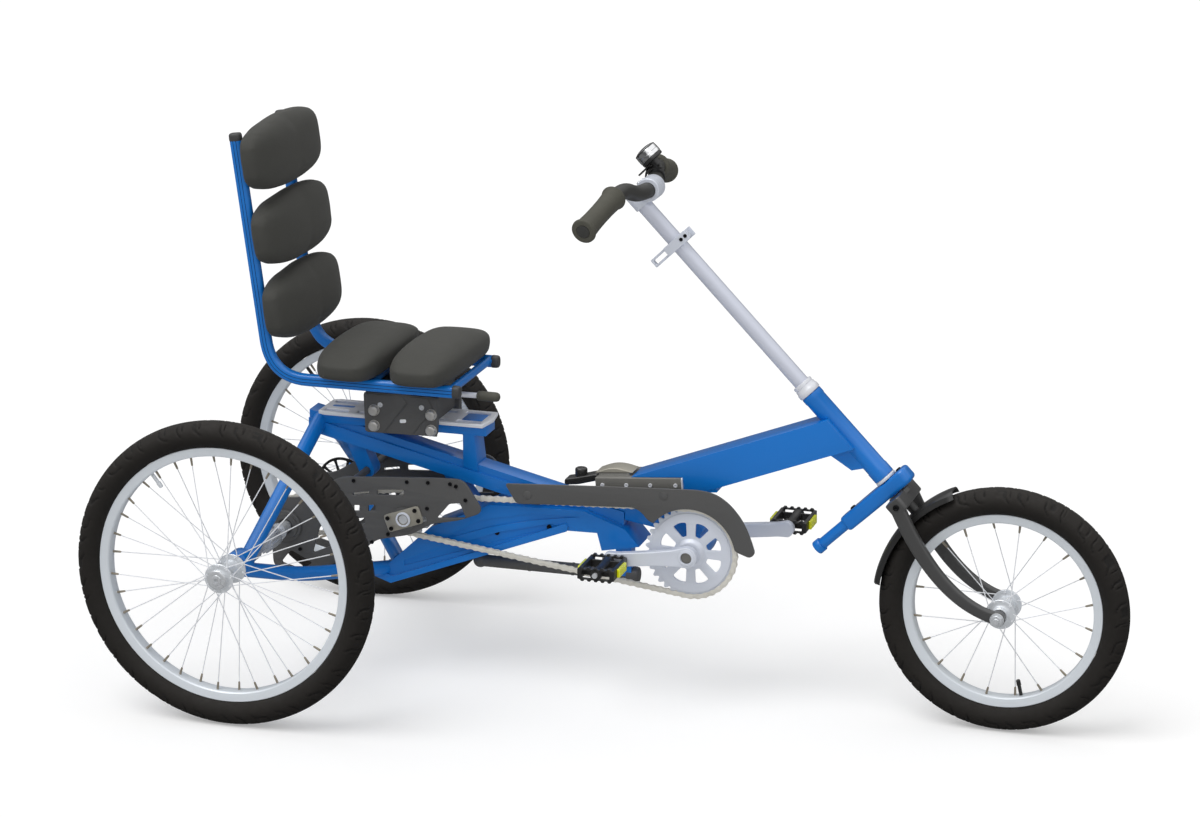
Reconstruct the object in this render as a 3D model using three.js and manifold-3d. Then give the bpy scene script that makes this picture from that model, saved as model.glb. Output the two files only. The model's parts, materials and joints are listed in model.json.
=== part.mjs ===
// Adaptive tricycle with two rear wheels, a seat on a rail and one steered front wheel on a sliding boom.
// Millimetres, +X forward, +Y to the rider's left, +Z up. Every part is laid out from the middle of
// the rear axle line on the ground; the whole group is then moved so that its box is centred.
import * as THREE from 'three';
import { mergeVertices } from 'three/addons/utils/BufferGeometryUtils.js';
import Module from 'manifold-3d';

const wasm = await Module();
wasm.setup();

// Fits and facets
const gap = 0.3;                  // between pieces that touch
const overrun = 2;                // how far a cutting tool runs past a face
const weld = 0.001;               // corners closer than this are one corner
const roundSides = 14;
const ringSides = 12;
const smallSides = 8;
const wheelFacets = 28;
const frontFacets = 24;

// Overall layout
const track = 666;

// Wheels: outer radius, width across the tyre and radius of the rim's edge
const rearRadius = 250;
const frontRadius = 199.5;
const tyreWidth = 47;
const tyreHeight = 40.5;
const rimWidth = 27;
const rimDepth = 15;
const rimWell = 9;
const rimWall = 2.4;
const spokeRadius = 1;
const rearSpokes = 36;
const frontSpokes = 20;
const hubFlangeRadius = 24;
const hubFlangeOffset = 26;
const hubFlangeThickness = 3;
const hubBarrelRadius = 15;
const rearHubLength = 66;
const frontHubLength = 74;
const spokeLean = 35 * Math.PI / 180;
const spokeLane = 3.5;
const tyreBellyShare = 0.5;
const tyreTreadShare = 0.42;
const valveLength = 28;
const valveRadius = 3;
const rearValveAngle = 128 * Math.PI / 180;
const frontValveAngle = -77 * Math.PI / 180;

// Drive axle, its spline and its brake disc
const axleRadius = 10;
const axleEndRadius = 16;
const axleHeadLength = 4.7;
const splineRadius = 17;
const splineLength = 46;
const splinePlaceShare = 0.549;
const splineTeeth = 8;
const splineRootShare = 0.82;
const discRadius = 43;
const discThickness = 4;
const discPlaceShare = 0.571;
const discArms = 5;
const axleHousingRadius = 21;
const axleHousingLength = 34;

// Chain and its wheels
const pitch = 12.7;
const ringTeeth = 36;
const cogTeeth = 16;
const toothHeight = 2.6;
const toothThickness = 2.4;
const linkHeight = 9.2;
const linkWaist = 6.8;
const chainWidth = 7;
const grooveWidth = 3.2;
const chainSide = 47;
const secondChainSide = 14;

// Cranks and pedals
const crankAhead = 92;
const crankDrop = 97;
const crankLength = 127.5;
const crankThickness = 14;
const crankFace = 78;
const crankEye = 2;
const crankRoot = 34;
const crankTip = 26;
const crankTurn = 7 * Math.PI / 180;
const spindleRadius = 9;
const shellRadius = 21;
const shellHalf = 34;
const pedalWidth = 76;
const pedalLength = 60;
const pedalThickness = 24;
const pedalAxleRadius = 5;
const pedalRail = 6;
const pedalStandoff = 2;
const pedalTeeth = 3;
const pedalToothShares = [0.3, 0.7];
const pedalCrownShare = 1 / 6;
const pedalWindowShare = 0.82;
const reflectorLength = 40;
const reflectorHeight = 14;
const reflectorThickness = 5;
const ringDishRadius = 22;
const ringDishTip = 17;
const ringDishHeight = 9.6;
const ringHoles = 8;
const ringHoleRadius = 11.5;
const ringHoleCircle = 44;

// Intermediate shaft and its carrier plates
const shaftForward = 206;
const shaftRise = 31;
const shaftRadius = 8;
const gearShellRadius = 29;
const gearShellLength = 48;
const gearShellSoft = 4;
const carrierSide = 75;
const carrierTail = 30;
const carrierNose = 136;
const carrierFoot = 87;
const carrierRise = 75;
const carrierThickness = 5;
const bearingPlateLength = 64;
const bearingPlateHeight = 30;
const bearingPlateThickness = 5;
const bearingTilt = 20 * Math.PI / 180;
const bearingBossRadius = 12;
const spacerRadius = 6;

// Main frame
const sparWidth = 40;
const sparRear = 24;
const sparFront = 562;
const sparRise = 186;
const sparFall = 128;
const sparDepthRear = 35;
const sparDepthFront = 34;
const sparRailFront = 400;
const sparRailWidth = 5;
const sparRailHeight = 22;
const lugRootForward = 94;
const lugForward = 120;
const lugDrop = 18;
const lugWidth = 30;
const lugRadius = 13;
const stayRadius = 12.5;
const stayTopForward = 42;
const stayTopDrop = 12;
const stayEndForward = 6;
const stayEndSpacing = 7;
const stayEndDrop = 6;
const lowerTubeRadius = 12;
const lowerTubeBend = 45;
const lowerTubeSide = 170;
const lowerTubeDrop = 48;
const lowerTubeForward = 62;
const beamWidth = 70;
const beamRear = 136;
const beamNose = 30;
const beamTopRise = 1;
const beamDepth = 153;
const beamFlangeLip = 5;
const beamGroove = 2.5;
const strutWidth = 34;
const strutDepth = 20;
const strutTopForward = 258;
const strutTopRise = 10.2;
const strutRun = 60;
const strutFall = 88;
const braceRadius = 10;
const braceRear = 310;
const braceInset = 20;
const braceFoot = 33;
const braceRise = 8;
const braceCapRadius = 14;
const braceCapLength = 20;
const hangerLength = 26;
const hangerWidth = 24;

// Seat rail and carriage
const railRear = 45;
const railFront = 330;
const railWidth = 80;
const railRise = 4;
const railThickness = 6;
const railBoxWidth = 46;
const railBoxHeight = 18;
const railSlotLength = 42;
const railSlotWidth = 14;
const railSlotSpacingShare = 1.3;
const railSlotSide = 24;
const railLegForward = 308;
const railLegLength = 18;
const carriageRear = 134;
const carriageLength = 128;
const carriageSkirt = 22;
const carriageRise = 45;
const carriagePlateThickness = 10;
const carriageWidth = 120;
const carriageBoltRadius = 8.5;
const carriageBoltHead = 7;
const carriageBoltInset = 15;
const carriageBoltShift = 3;
const carriageBoltFoot = 12;
const carriageBoltRise = 26;
const leverRodRadius = 4.5;
const leverRodLength = 56;
const leverGripLength = 38;
const leverGripRadius = 8;
const leverGripSoft = 3;
const leverDrop = 1;
const leverSide = 24;

// Seat and back
const seatTubeSide = 97.8;
const seatTubeHeight = 20;
const seatTubeWidth = 16;
const seatTubeRise = 68.5;
const seatTubeFront = 301.5;
const seatBend = 62;
const seatBendShare = 1 / 6;
const backFootForward = -20;
const backTopForward = -60;
const backTopHeight = 895;
const tubeCapLength = 12;
const crossBarRadius = 8;
const seatBarPlaces = [152, 244];
const backPads = 3;
const backPadStart = 51;
const backPadOverhang = 27.5;
const backPadGap = 3;
const padWidth = 276;
const padLength = 118;
const padCrown = 32;
const padBase = 20;
const padDrawIn = 3;
const padFlatShare = 1.25;
const padSeamShare = 0.2;
const backPadWrap = 16;
const padOutlinePower = 0.42;
const padSidePower = 0.55;
const padAround = 20;
const padRings = 8;
const seatPadPlaces = [122, 246];

// Chain guard
const guardSide = 61;
const guardThickness = 3;
const guardClearance = 0.5;
const guardTail = 309;
const guardNose = 110;
const guardFoot = 3;
const guardRise = 110;
const guardHookRadius = 76;
const guardBossRadius = 4.5;
const guardBossTail = 39;
const guardBossRise = 73;
const guardBossNose = 267;
const guardBossDrop = 15;

// Sliding boom
const slideAhead = 28;
const boomReach = 330.57;
const slideRise = 49;
const slideTilt = 4.7 * Math.PI / 180;
const housingLength = 144;
const housingWidth = 66;
const housingHeight = 30;
const housingWall = 5;
const coverLength = 52;
const coverPlace = 44;
const coverHeight = 6;
const coverWidth = 36;
const boomLeverRise = 9;
const boomLeverLength = 52;
const boomLeverWidth = 26;
const boomLeverThickness = 12;
const boomLeverDrop = 12;
const boomKnobRadius = 10;
const boomKnobHeight = 8;
const boomKnobPlace = 27;
const bracketTail = 66;
const bracketWidth = 36;
const frontBeamTail = 5;
const frontBeamTailDrop = 12.5;
const frontBeamNoseAlong = 2.2;
const frontBeamNoseAcross = 19.3;
const frontBeamHeight = 56;
const frontBeamWidth = 58;
const gussetThickness = 24;
const gussetRootShare = 0.8;
const frontBeamForwardReach = 300;

// Steering: places along the steering axis are measured down from the top of the column
const headAngle = 46.13 * Math.PI / 180;
const crownClearance = 23.74;
const forkOffset = 2;
const columnRise = 490;
const columnRadius = 12.7;
const headTubeLength = 168;
const upperCupHeight = 22;
const lowerCupHeight = 13;
const headTubeRadius = 17;
const cupRadius = 19;
const cupLength = 9;
const armThickness = 25;
const crownSpacing = 2;
const crownHeight = 24;
const armNose = 35;
const armTail = 100;
const armEnd = 166;
const armWidth = 40;
const armTailShare = 0.64;
const armTubeRadius = 9;
const armCollarRadius = 11.5;
const armCollarLength = 12;
const clampPlace = 90;
const clampPlateBack = 50;
const clampPlateFront = 25;
const clampPlateWidth = 14;
const clampPlateThickness = 9;
const clampRingWall = 3.5;
const clampSlotWidth = 5;
const stemRise = 1.94;
const stemWall = 1.44;
const stemWidth = 36;
const stemNeckWidth = 22;
const stemClampRadius = 19;
const stemCollarRadius = 16;
const stemCollarRise = 18;
const stemCollarFall = 12;
const barRadius = 12.7;
const barBendShare = -0.13;
const barEndShare = 0.9;
const gripInnerBack = 24;
const gripInnerSide = 120;
const gripInnerLift = 9;
const gripOuterBack = 40;
const gripOuterSide = 230;
const gripOuterDrop = 22;
const gripRadius = 17.5;
const gripWaist = 16;
const gripFlangeRadius = 20;
const bellSide = 60;
const bellBack = 2.5;
const bellRise = 25.8;
const bellRadius = 19.5;
const bellHeight = 27;
const bellBaseHeight = 6;
const bellLean = 45 * Math.PI / 180;
const bellFootRadius = 8;
const bellNeckLength = 10.5;
const bellLeverLength = 36;
const bellLeverWidth = 9;
const bellLeverThickness = 3;
const bladeThickness = 14;
const bladeSide = 48;
const bladePullShare = 0.76;
const bladeSag = 54;
const crownWidthShare = 1.2;
const mudguardGap = 7;
const mudguardWidth = 52;
const mudguardThickness = 2.2;
const mudguardLip = 10;
const mudguardStart = 114 * Math.PI / 180;
const mudguardEnd = 172 * Math.PI / 180;
const mudguardPostRadius = 8;
const frontNutRadius = 9;
const frontNutLength = 5.7;
const frontAxleTail = 2.3;
const frontAxleRadius = 5;

// Places that follow from the driving sizes
const rearRimRadius = rearRadius - tyreHeight;
const frontRimRadius = frontRadius - tyreHeight;
const sparTopRear = rearRadius + sparRise;
const sparTopFront = sparTopRear - sparFall;
const shaftHeight = rearRadius + shaftRise;
const carrierRear = -carrierTail;
const carrierFront = shaftForward + carrierNose;
const carrierBase = rearRadius - carrierFoot;
const carrierTop = shaftHeight + carrierRise;
const lugHeight = carrierTop - lugDrop;
const sparBaseRear = sparTopRear - sparDepthRear;
const sparBaseFront = sparTopFront - sparDepthFront;
const alongSpar = (x, rear, front) => rear + (x - sparRear) * (front - rear) / (sparFront - sparRear);
const sparTopAt = (x) => alongSpar(x, sparTopRear, sparTopFront);
const sparBaseAt = (x) => alongSpar(x, sparBaseRear, sparBaseFront);
const strutTopHeight = sparBaseAt(strutTopForward) + strutTopRise;
const strutFootForward = strutTopForward + strutRun;
const strutFootHeight = strutTopHeight - strutFall;
const stayTopHeight = sparTopRear - stayTopDrop;
const stayEndHeight = rearRadius - stayEndDrop;
const lowerTubeHeight = rearRadius - lowerTubeDrop;
const stayEndSide = (track - rearHubLength - axleHousingLength) / 2 - stayEndSpacing;
const axleOpenLength = stayEndSide - axleHousingLength / 2 - carrierSide;
const discSide = carrierSide + discPlaceShare * axleOpenLength;
const splineStart = carrierSide + splinePlaceShare * axleOpenLength;
const railTop = sparTopRear + railRise;
const carriageBase = railTop - carriageSkirt;
const carriagePlateTop = railTop + carriageRise;
const leverHeight = carriagePlateTop - leverDrop;
const seatTubeLevel = railTop + seatTubeRise;
const beamFront = sparFront + beamNose;
const beamTop = sparTopFront + beamTopRise;
const beamBase = beamTop - beamDepth;
const braceHeight = beamBase + braceFoot;
const slideHeight = sparTopFront + slideRise;
const crankHeight = slideHeight - crankDrop;
const braceFront = beamFront - braceInset;
const slideForward = sparFront + slideAhead;
const bracketRear = slideForward - bracketTail;
const crankForward = slideForward + crankAhead;
const guardLip = guardSide - guardThickness - chainSide - chainWidth / 2 - guardClearance;
const guardRear = crankForward - guardTail;
const guardFront = crankForward + guardNose;
const guardBase = crankHeight + guardFoot;
const guardTop = crankHeight + guardRise;

// Places along the steering axis, measured down from the top of the column
const headTubeStart = columnRise - headTubeLength / 2;
const headTubeEnd = columnRise + headTubeLength / 2;
const collarStart = headTubeStart - upperCupHeight;
const armStart = headTubeEnd + lowerCupHeight;
const crownStart = armStart + armThickness + crownSpacing;
const axleAlong = crownStart + crownHeight + crownClearance + frontRadius;
const forkReach = axleAlong - columnRise;
const wheelbase = slideForward + boomReach + forkReach * Math.cos(headAngle)
  + forkOffset * Math.sin(headAngle);

const overallLength = rearRadius + wheelbase + frontRadius;
const boxCentre = wheelbase + frontRadius - overallLength / 2;

// Finishes
const finishes = {
  frameBlue: { color: 0x1a69b9, roughness: 0.35, metalness: 0.2 },
  tyreBlack: { color: 0x26221e, roughness: 0.85, metalness: 0 },
  silver: { color: 0xcdd4dc, roughness: 0.35, metalness: 0.9 },
  steel: { color: 0xc8ccd2, roughness: 0.25, metalness: 1 },
  chainSteel: { color: 0xd2cdc3, roughness: 0.4, metalness: 0.9 },
  carbonGrey: { color: 0x4b4b4b, roughness: 0.5, metalness: 0.4 },
  plasticBlack: { color: 0x1c1c1c, roughness: 0.5, metalness: 0 },
  gripGrey: { color: 0x46463f, roughness: 0.8, metalness: 0 },
  padCharcoal: { color: 0x484844, roughness: 0.75, metalness: 0 },
};

// Placing and shaping helpers
const at = (x, y, z) => new THREE.Vector3(x, y, z);
const alongX = at(1, 0, 0);
const alongY = at(0, 1, 0);
const alongZ = at(0, 0, 1);

function closed(geometry) {
  const bare = new THREE.BufferGeometry();
  bare.setAttribute('position', geometry.getAttribute('position').clone());
  if (geometry.index) bare.setIndex(geometry.index.clone());
  const merged = mergeVertices(bare, weld);
  const order = merged.index.array;
  const place = merged.getAttribute('position');
  const kept = [];
  const [a, b, c] = [at(0, 0, 0), at(0, 0, 0), at(0, 0, 0)];
  let volume = 0;
  for (let i = 0; i < order.length; i += 3) {
    const [p, q, r] = [order[i], order[i + 1], order[i + 2]];
    if (p === q || q === r || r === p) continue;
    kept.push([p, q, r]);
    a.fromBufferAttribute(place, p);
    b.fromBufferAttribute(place, q);
    c.fromBufferAttribute(place, r);
    volume += a.dot(b.cross(c));
  }
  merged.setIndex(kept.flatMap(([p, q, r]) => (volume < 0 ? [p, r, q] : [p, q, r])));
  return merged;
}

function toSolid(geometry) {
  const g = closed(geometry);
  return new wasm.Manifold(new wasm.Mesh({
    numProp: 3,
    vertProperties: Float32Array.from(g.getAttribute('position').array),
    triVerts: Uint32Array.from(g.index.array),
  }));
}

function fromSolid(solid) {
  const raw = solid.getMesh();
  const g = new THREE.BufferGeometry();
  g.setAttribute('position', new THREE.BufferAttribute(Float32Array.from(raw.vertProperties), 3));
  g.setIndex(Array.from(raw.triVerts));
  return g;
}

const cut = (base, ...tools) => fromSolid(
  tools.reduce((solid, tool) => solid.subtract(toSolid(tool)), toSolid(base)));
const join = (first, ...others) => fromSolid(
  others.reduce((solid, other) => solid.add(toSolid(other)), toSolid(first)));
const keepInside = (base, mould) => fromSolid(toSolid(base).intersect(toSolid(mould)));

// The corner radius of a hole of some sides that clears a round piece all the way round
const around = (radius, sides = roundSides) => (radius + gap) / Math.cos(Math.PI / sides);

const mirrored = (geometry) => closed(geometry.clone().scale(1, -1, 1));
const onSide = (name, geometry) => (name === 'right' ? geometry : mirrored(geometry));

// Turns local X to one direction and keeps local Z as near as it can to another, then moves it
function lay(geometry, origin, along, up = alongZ) {
  const x = along.clone().normalize();
  const y = up.clone().cross(x).normalize();
  const z = x.clone().cross(y);
  const place = new THREE.Matrix4().makeBasis(x, y, z).setPosition(origin);
  return geometry.clone().applyMatrix4(place);
}

function rod(from, to, radius, sides = roundSides, endRadius = radius) {
  const run = to.clone().sub(from);
  const g = new THREE.CylinderGeometry(endRadius, radius, run.length(), sides);
  g.translate(0, run.length() / 2, 0);
  g.applyQuaternion(new THREE.Quaternion().setFromUnitVectors(alongY, run.clone().normalize()));
  return g.translate(from.x, from.y, from.z);
}

const pin = (x, z, y0, y1, radius, sides = roundSides) => rod(at(x, y0, z), at(x, y1, z), radius, sides);

function block(x0, x1, y0, y1, z0, z1) {
  const g = new THREE.BoxGeometry(x1 - x0, y1 - y0, z1 - z0);
  return g.translate((x0 + x1) / 2, (y0 + y1) / 2, (z0 + z1) / 2);
}

function beam(from, to, height, width) {
  const run = to.clone().sub(from);
  const g = new THREE.BoxGeometry(run.length(), width, height).translate(run.length() / 2, 0, 0);
  return lay(g, from, run);
}

function outline(points, softness = 0) {
  const shape = new THREE.Shape();
  const spots = points.map(([x, y]) => new THREE.Vector2(x, y));
  if (THREE.ShapeUtils.area(spots) < 0) spots.reverse();
  spots.forEach((spot, i) => {
    const before = spots[(i + spots.length - 1) % spots.length];
    const after = spots[(i + 1) % spots.length];
    const reach = Math.min(softness, before.distanceTo(spot) / 2.2, after.distanceTo(spot) / 2.2);
    const start = spot.clone().add(before.clone().sub(spot).setLength(reach));
    const end = spot.clone().add(after.clone().sub(spot).setLength(reach));
    if (i === 0) shape.moveTo(start.x, start.y);
    else shape.lineTo(start.x, start.y);
    if (reach > 0) shape.quadraticCurveTo(spot.x, spot.y, end.x, end.y);
  });
  return shape;
}

function slot(x, y, length, width) {
  const [a, b] = [length / 2, width / 2];
  return [[x - a, y - b], [x + a, y - b], [x + a, y + b], [x - a, y + b]];
}

function plate(shape, depth, soft = 0, curveSegments = 2) {
  const bevel = { bevelThickness: soft, bevelSize: soft, bevelOffset: -soft, bevelSegments: 1 };
  const form = { depth: depth - 2 * soft, bevelEnabled: soft > 0, ...bevel, curveSegments };
  return new THREE.ExtrudeGeometry(shape, form).translate(0, 0, soft);
}

// An outline drawn in X and Z, standing between two sides
const sidePlate = (shape, y0, y1, soft = 0) => (
  plate(shape, Math.abs(y1 - y0), soft).rotateX(Math.PI / 2).translate(0, Math.max(y0, y1), 0));
// An outline drawn in X and Y, lying between two levels
const flatPlate = (shape, z0, z1, soft = 0) => plate(shape, z1 - z0, soft).translate(0, 0, z0);

function turned(profile, facets, start = 0) {
  const points = profile.map(([r, h]) => new THREE.Vector2(r, h));
  if (points[0].x > 0 || points.at(-1).x > 0) points.push(points[0].clone());
  return new THREE.LatheGeometry(points, facets, start);
}

function stand(geometry, origin, direction) {
  const turn = new THREE.Quaternion().setFromUnitVectors(alongY, direction.clone().normalize());
  return geometry.clone().applyQuaternion(turn).translate(origin.x, origin.y, origin.z);
}

function route(points, bend) {
  const path = new THREE.CurvePath();
  let last = points[0];
  for (let i = 1; i < points.length - 1; i += 1) {
    const spot = points[i];
    const into = spot.clone().add(points[i - 1].clone().sub(spot).setLength(bend));
    const out = spot.clone().add(points[i + 1].clone().sub(spot).setLength(bend));
    path.add(new THREE.LineCurve3(last, into));
    path.add(new THREE.QuadraticBezierCurve3(into, spot, out));
    last = out;
  }
  path.add(new THREE.LineCurve3(last, points.at(-1)));
  return path;
}

function ovalSection(width, height, sides) {
  return outline(Array.from({ length: sides }, (_, i) => {
    const turn = 2 * Math.PI * (i + 0.5) / sides;
    return [width / 2 * Math.cos(turn), height / 2 * Math.sin(turn)];
  }));
}

const tube = (path, width, height, steps, sides = smallSides) => new THREE.ExtrudeGeometry(
  ovalSection(width, height, sides), { extrudePath: path, steps, bevelEnabled: false });

// The model
const model = new THREE.Group();
model.position.x = -boxCentre;

function add(name, geometry, finish) {
  const material = new THREE.MeshStandardMaterial(finishes[finish]);
  const mesh = new THREE.Mesh(closed(geometry), material);
  mesh.name = name;
  model.add(mesh);
}

// Wheels, each built round its own centre with its axle along Y
function tyre(radius, rimRadius, facets) {
  const half = tyreWidth / 2;
  const seat = rimWidth / 2;
  const height = radius - rimRadius;
  const side = [[rimRadius + gap, seat], [rimRadius + tyreBellyShare * height, half],
    [radius, tyreTreadShare * half]];
  const stretch = 1 / Math.cos(Math.PI / facets);
  const profile = [...side.map(([r, y]) => [r, -y]), ...side.reverse()];
  return turned(profile.map(([r, y]) => [r > radius - weld ? r * stretch : r, y]), facets, Math.PI / facets);
}

function rim(rimRadius, facets) {
  const half = rimWidth / 2;
  const floor = rimRadius - rimDepth;
  const side = [[floor, half - rimWall], [rimRadius, half], [rimRadius - rimWell, half - 2 * rimWall]];
  return turned([...side, ...side.reverse().map(([r, y]) => [r, -y])], facets, Math.PI / facets);
}

function hub(length, boreRadius) {
  const half = length / 2;
  const face = hubFlangeOffset + hubFlangeThickness / 2;
  const root = hubFlangeOffset - hubFlangeThickness / 2;
  const side = [[boreRadius, half], [hubBarrelRadius - hubFlangeThickness, half], [hubFlangeRadius, face],
    [hubFlangeRadius, root], [hubBarrelRadius, root - hubFlangeThickness / 2]];
  return turned([...side, ...side.reverse().map(([r, y]) => [r, -y])], smallSides);
}

// A straight spoke of three sides
function wire(low, high) {
  const run = high.clone().sub(low);
  const form = plate(ovalSection(2 * spokeRadius, 2 * spokeRadius, 3), run.length());
  return stand(form.rotateX(-Math.PI / 2), low, run);
}

function spokes(count, rimRadius, facets) {
  const start = hubFlangeRadius - 2 * spokeRadius;
  const end = (rimRadius - rimDepth) * Math.cos(Math.PI / facets) - gap;
  return Array.from({ length: count }, (_, i) => {
    const side = i % 2 ? 1 : -1;
    const inward = i % 4 < 2 ? 1 : -1;
    const rimTurn = 2 * Math.PI * (i + 0.5) / count;
    const hubTurn = rimTurn - inward * spokeLean;
    const lane = inward * (spokeRadius + gap);
    const low = at(start * Math.cos(hubTurn), side * hubFlangeOffset + lane, start * Math.sin(hubTurn));
    const high = at(end * Math.cos(rimTurn), side * spokeLane + lane, end * Math.sin(rimTurn));
    return wire(low, high);
  });
}

function valve(rimRadius, turn) {
  const outer = rimRadius - rimDepth + overrun;
  const way = at(Math.cos(turn), 0, Math.sin(turn));
  const inner = way.clone().multiplyScalar(outer - valveLength);
  return rod(inner, way.multiplyScalar(outer), valveRadius, 6);
}

function addWheel(name, centre, radius, rimRadius, spokeCount, facets, hubLength, boreRadius, valveTurn) {
  const placed = (g) => g.clone().translate(centre.x, centre.y, centre.z);
  add(`${name}_tyre`, placed(tyre(radius, rimRadius, facets)), 'tyreBlack');
  add(`${name}_rim`, placed(join(rim(rimRadius, facets), valve(rimRadius, valveTurn))), 'silver');
  const laced = join(hub(hubLength, boreRadius), ...spokes(spokeCount, rimRadius, facets));
  add(`${name}_hub`, placed(laced), 'silver');
}

const rearBore = around(axleRadius, smallSides);
const rearWheel = [rearRadius, rearRimRadius, rearSpokes, wheelFacets, rearHubLength, rearBore,
  rearValveAngle];
addWheel('right_rear', at(0, -track / 2, rearRadius), ...rearWheel);
addWheel('left_rear', at(0, track / 2, rearRadius), ...rearWheel);
addWheel('front', at(wheelbase, 0, frontRadius), frontRadius, frontRimRadius, frontSpokes, frontFacets,
  frontHubLength, around(frontAxleRadius, smallSides), frontValveAngle);

// Toothed wheels and chains
const pitchRadius = (teeth) => pitch / 2 / Math.sin(Math.PI / teeth);

function toothedDisc(teeth, holes = []) {
  const tip = pitchRadius(teeth) + toothHeight;
  const root = pitchRadius(teeth) - toothHeight;
  const points = [];
  const stepShares = [[-0.38, 0], [-0.1, 1], [0.1, 1]];
  for (let i = 0; i < teeth; i += 1) {
    for (const [turnShare, rise] of stepShares) {
      const turn = 2 * Math.PI * (i + 0.5 + turnShare) / teeth;
      const r = root + rise * (tip - root);
      points.push([r * Math.cos(turn), r * Math.sin(turn)]);
    }
  }
  const shape = outline(points);
  shape.holes.push(...holes);
  return sidePlate(shape, -toothThickness / 2, toothThickness / 2);
}

function roundHole(x, y, radius) {
  return new THREE.Path(Array.from({ length: 6 }, (_, i) => {
    const turn = 2 * Math.PI * i / 6;
    return new THREE.Vector2(x + radius * Math.cos(turn), y + radius * Math.sin(turn));
  }));
}

// Pin places and headings along a chain run round two circles, back over the top and forward below
function chainLine(rear, rearCircle, front, frontCircle) {
  const span = front.clone().sub(rear);
  const tilt = Math.atan2(span.y, span.x);
  const lean = Math.asin((frontCircle - rearCircle) / span.length());
  const straight = span.length() * Math.cos(lean);
  const frontWrap = frontCircle * (Math.PI + 2 * lean);
  const rearWrap = rearCircle * (Math.PI - 2 * lean);
  const total = 2 * straight + frontWrap + rearWrap;
  const links = Math.round(total / pitch);
  const topNormal = tilt + Math.PI / 2 + lean;
  const baseNormal = tilt - Math.PI / 2 - lean;
  const arm = (centre, circle, turn) => [
    centre.x + circle * Math.cos(turn), centre.y + circle * Math.sin(turn), turn];
  const spotAt = (run) => {
    if (run < straight) {
      const [x, y] = arm(rear, rearCircle, topNormal);
      return [x + run * Math.sin(topNormal), y - run * Math.cos(topNormal), topNormal];
    }
    if (run < straight + frontWrap) {
      return arm(front, frontCircle, topNormal - (run - straight) / frontCircle);
    }
    if (run < 2 * straight + frontWrap) {
      const back = run - straight - frontWrap;
      const [x, y] = arm(front, frontCircle, baseNormal);
      return [x + back * Math.sin(baseNormal), y - back * Math.cos(baseNormal), baseNormal];
    }
    return arm(rear, rearCircle, baseNormal - (run - 2 * straight - frontWrap) / rearCircle);
  };
  return Array.from({ length: 2 * links }, (_, i) => spotAt(total * i / (2 * links)));
}

function chain(rear, rearTeeth, front, frontTeeth, side) {
  const line = chainLine(rear, pitchRadius(rearTeeth), front, pitchRadius(frontTeeth));
  const offset = ([x, y, turn], half) => (
    new THREE.Vector2(x + half * Math.cos(turn), y + half * Math.sin(turn)));
  const shape = outline(line.map((spot, i) => offset(spot, (i % 2 ? linkWaist : linkHeight) / 2).toArray()));
  const pins = line.filter((_, i) => i % 2 === 0);
  shape.holes.push(new THREE.Path(pins.map((spot) => offset(spot, -linkHeight / 2))));
  const band = sidePlate(shape, side - chainWidth / 2, side + chainWidth / 2);
  const groove = (centre, teeth) => {
    const tip = (pitchRadius(teeth) + toothHeight + gap) / Math.cos(Math.PI / 2 / ringSides);
    const inner = pitchRadius(teeth) - linkHeight;
    const half = grooveWidth / 2;
    const ring = turned([[inner, -half], [tip, -half], [tip, half], [inner, half]], 2 * ringSides);
    return ring.translate(centre.x, side, centre.y);
  };
  return cut(band, groove(rear, rearTeeth), groove(front, frontTeeth));
}

const axlePlace = new THREE.Vector2(0, rearRadius);
const shaftPlace = new THREE.Vector2(shaftForward, shaftHeight);
const crankPlace = new THREE.Vector2(crankForward, crankHeight);
add('main_chain', chain(shaftPlace, cogTeeth, crankPlace, ringTeeth, -chainSide), 'chainSteel');
add('rear_chain', chain(axlePlace, cogTeeth, shaftPlace, cogTeeth, -secondChainSide), 'chainSteel');

// Drive axle with its rear cog, spline and end heads
function driveAxle() {
  const hubEnd = track / 2 + rearHubLength / 2 + gap;
  const end = hubEnd + axleHeadLength;
  const shaft = pin(0, 0, overrun - end, end - overrun, axleRadius, ringSides);
  const heads = [1, -1].map((side) => (
    pin(0, 0, side * hubEnd, side * end, axleEndRadius, ringSides)));
  const teeth = ovalSection(2 * splineRadius, 2 * splineRadius, 2 * splineTeeth);
  const ridges = teeth.getPoints().slice(0, -1).map((p, i) => (
    i % 2 ? [p.x * splineRootShare, p.y * splineRootShare] : [p.x, p.y]));
  const spline = sidePlate(outline(ridges), -splineStart, -splineStart + splineLength);
  const cog = toothedDisc(cogTeeth).translate(0, -secondChainSide, 0);
  return join(shaft, ...heads, spline, cog).translate(0, 0, rearRadius);
}

add('drive_axle', driveAxle(), 'steel');

function brakeDisc() {
  const bossRadius = axleRadius + discThickness;
  const band = discRadius - 2 * discThickness;
  const [low, high] = [-overrun, discThickness + overrun];
  const ring = cut(pin(0, 0, 0, discThickness, discRadius), pin(0, 0, low, high, band));
  const boss = pin(0, 0, 0, discThickness, bossRadius, ringSides);
  const middle = discThickness / 2;
  const arms = Array.from({ length: discArms }, (_, i) => {
    const turn = 2 * Math.PI * i / discArms;
    const reach = band + discThickness;
    return beam(at(0, middle, 0), at(reach * Math.cos(turn), middle, reach * Math.sin(turn)),
      discThickness, discThickness);
  });
  return cut(join(ring, boss, ...arms), pin(0, 0, low, high, around(axleRadius, ringSides), ringSides));
}

add('brake_disc', brakeDisc().translate(0, discSide, rearRadius), 'plasticBlack');

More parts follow.
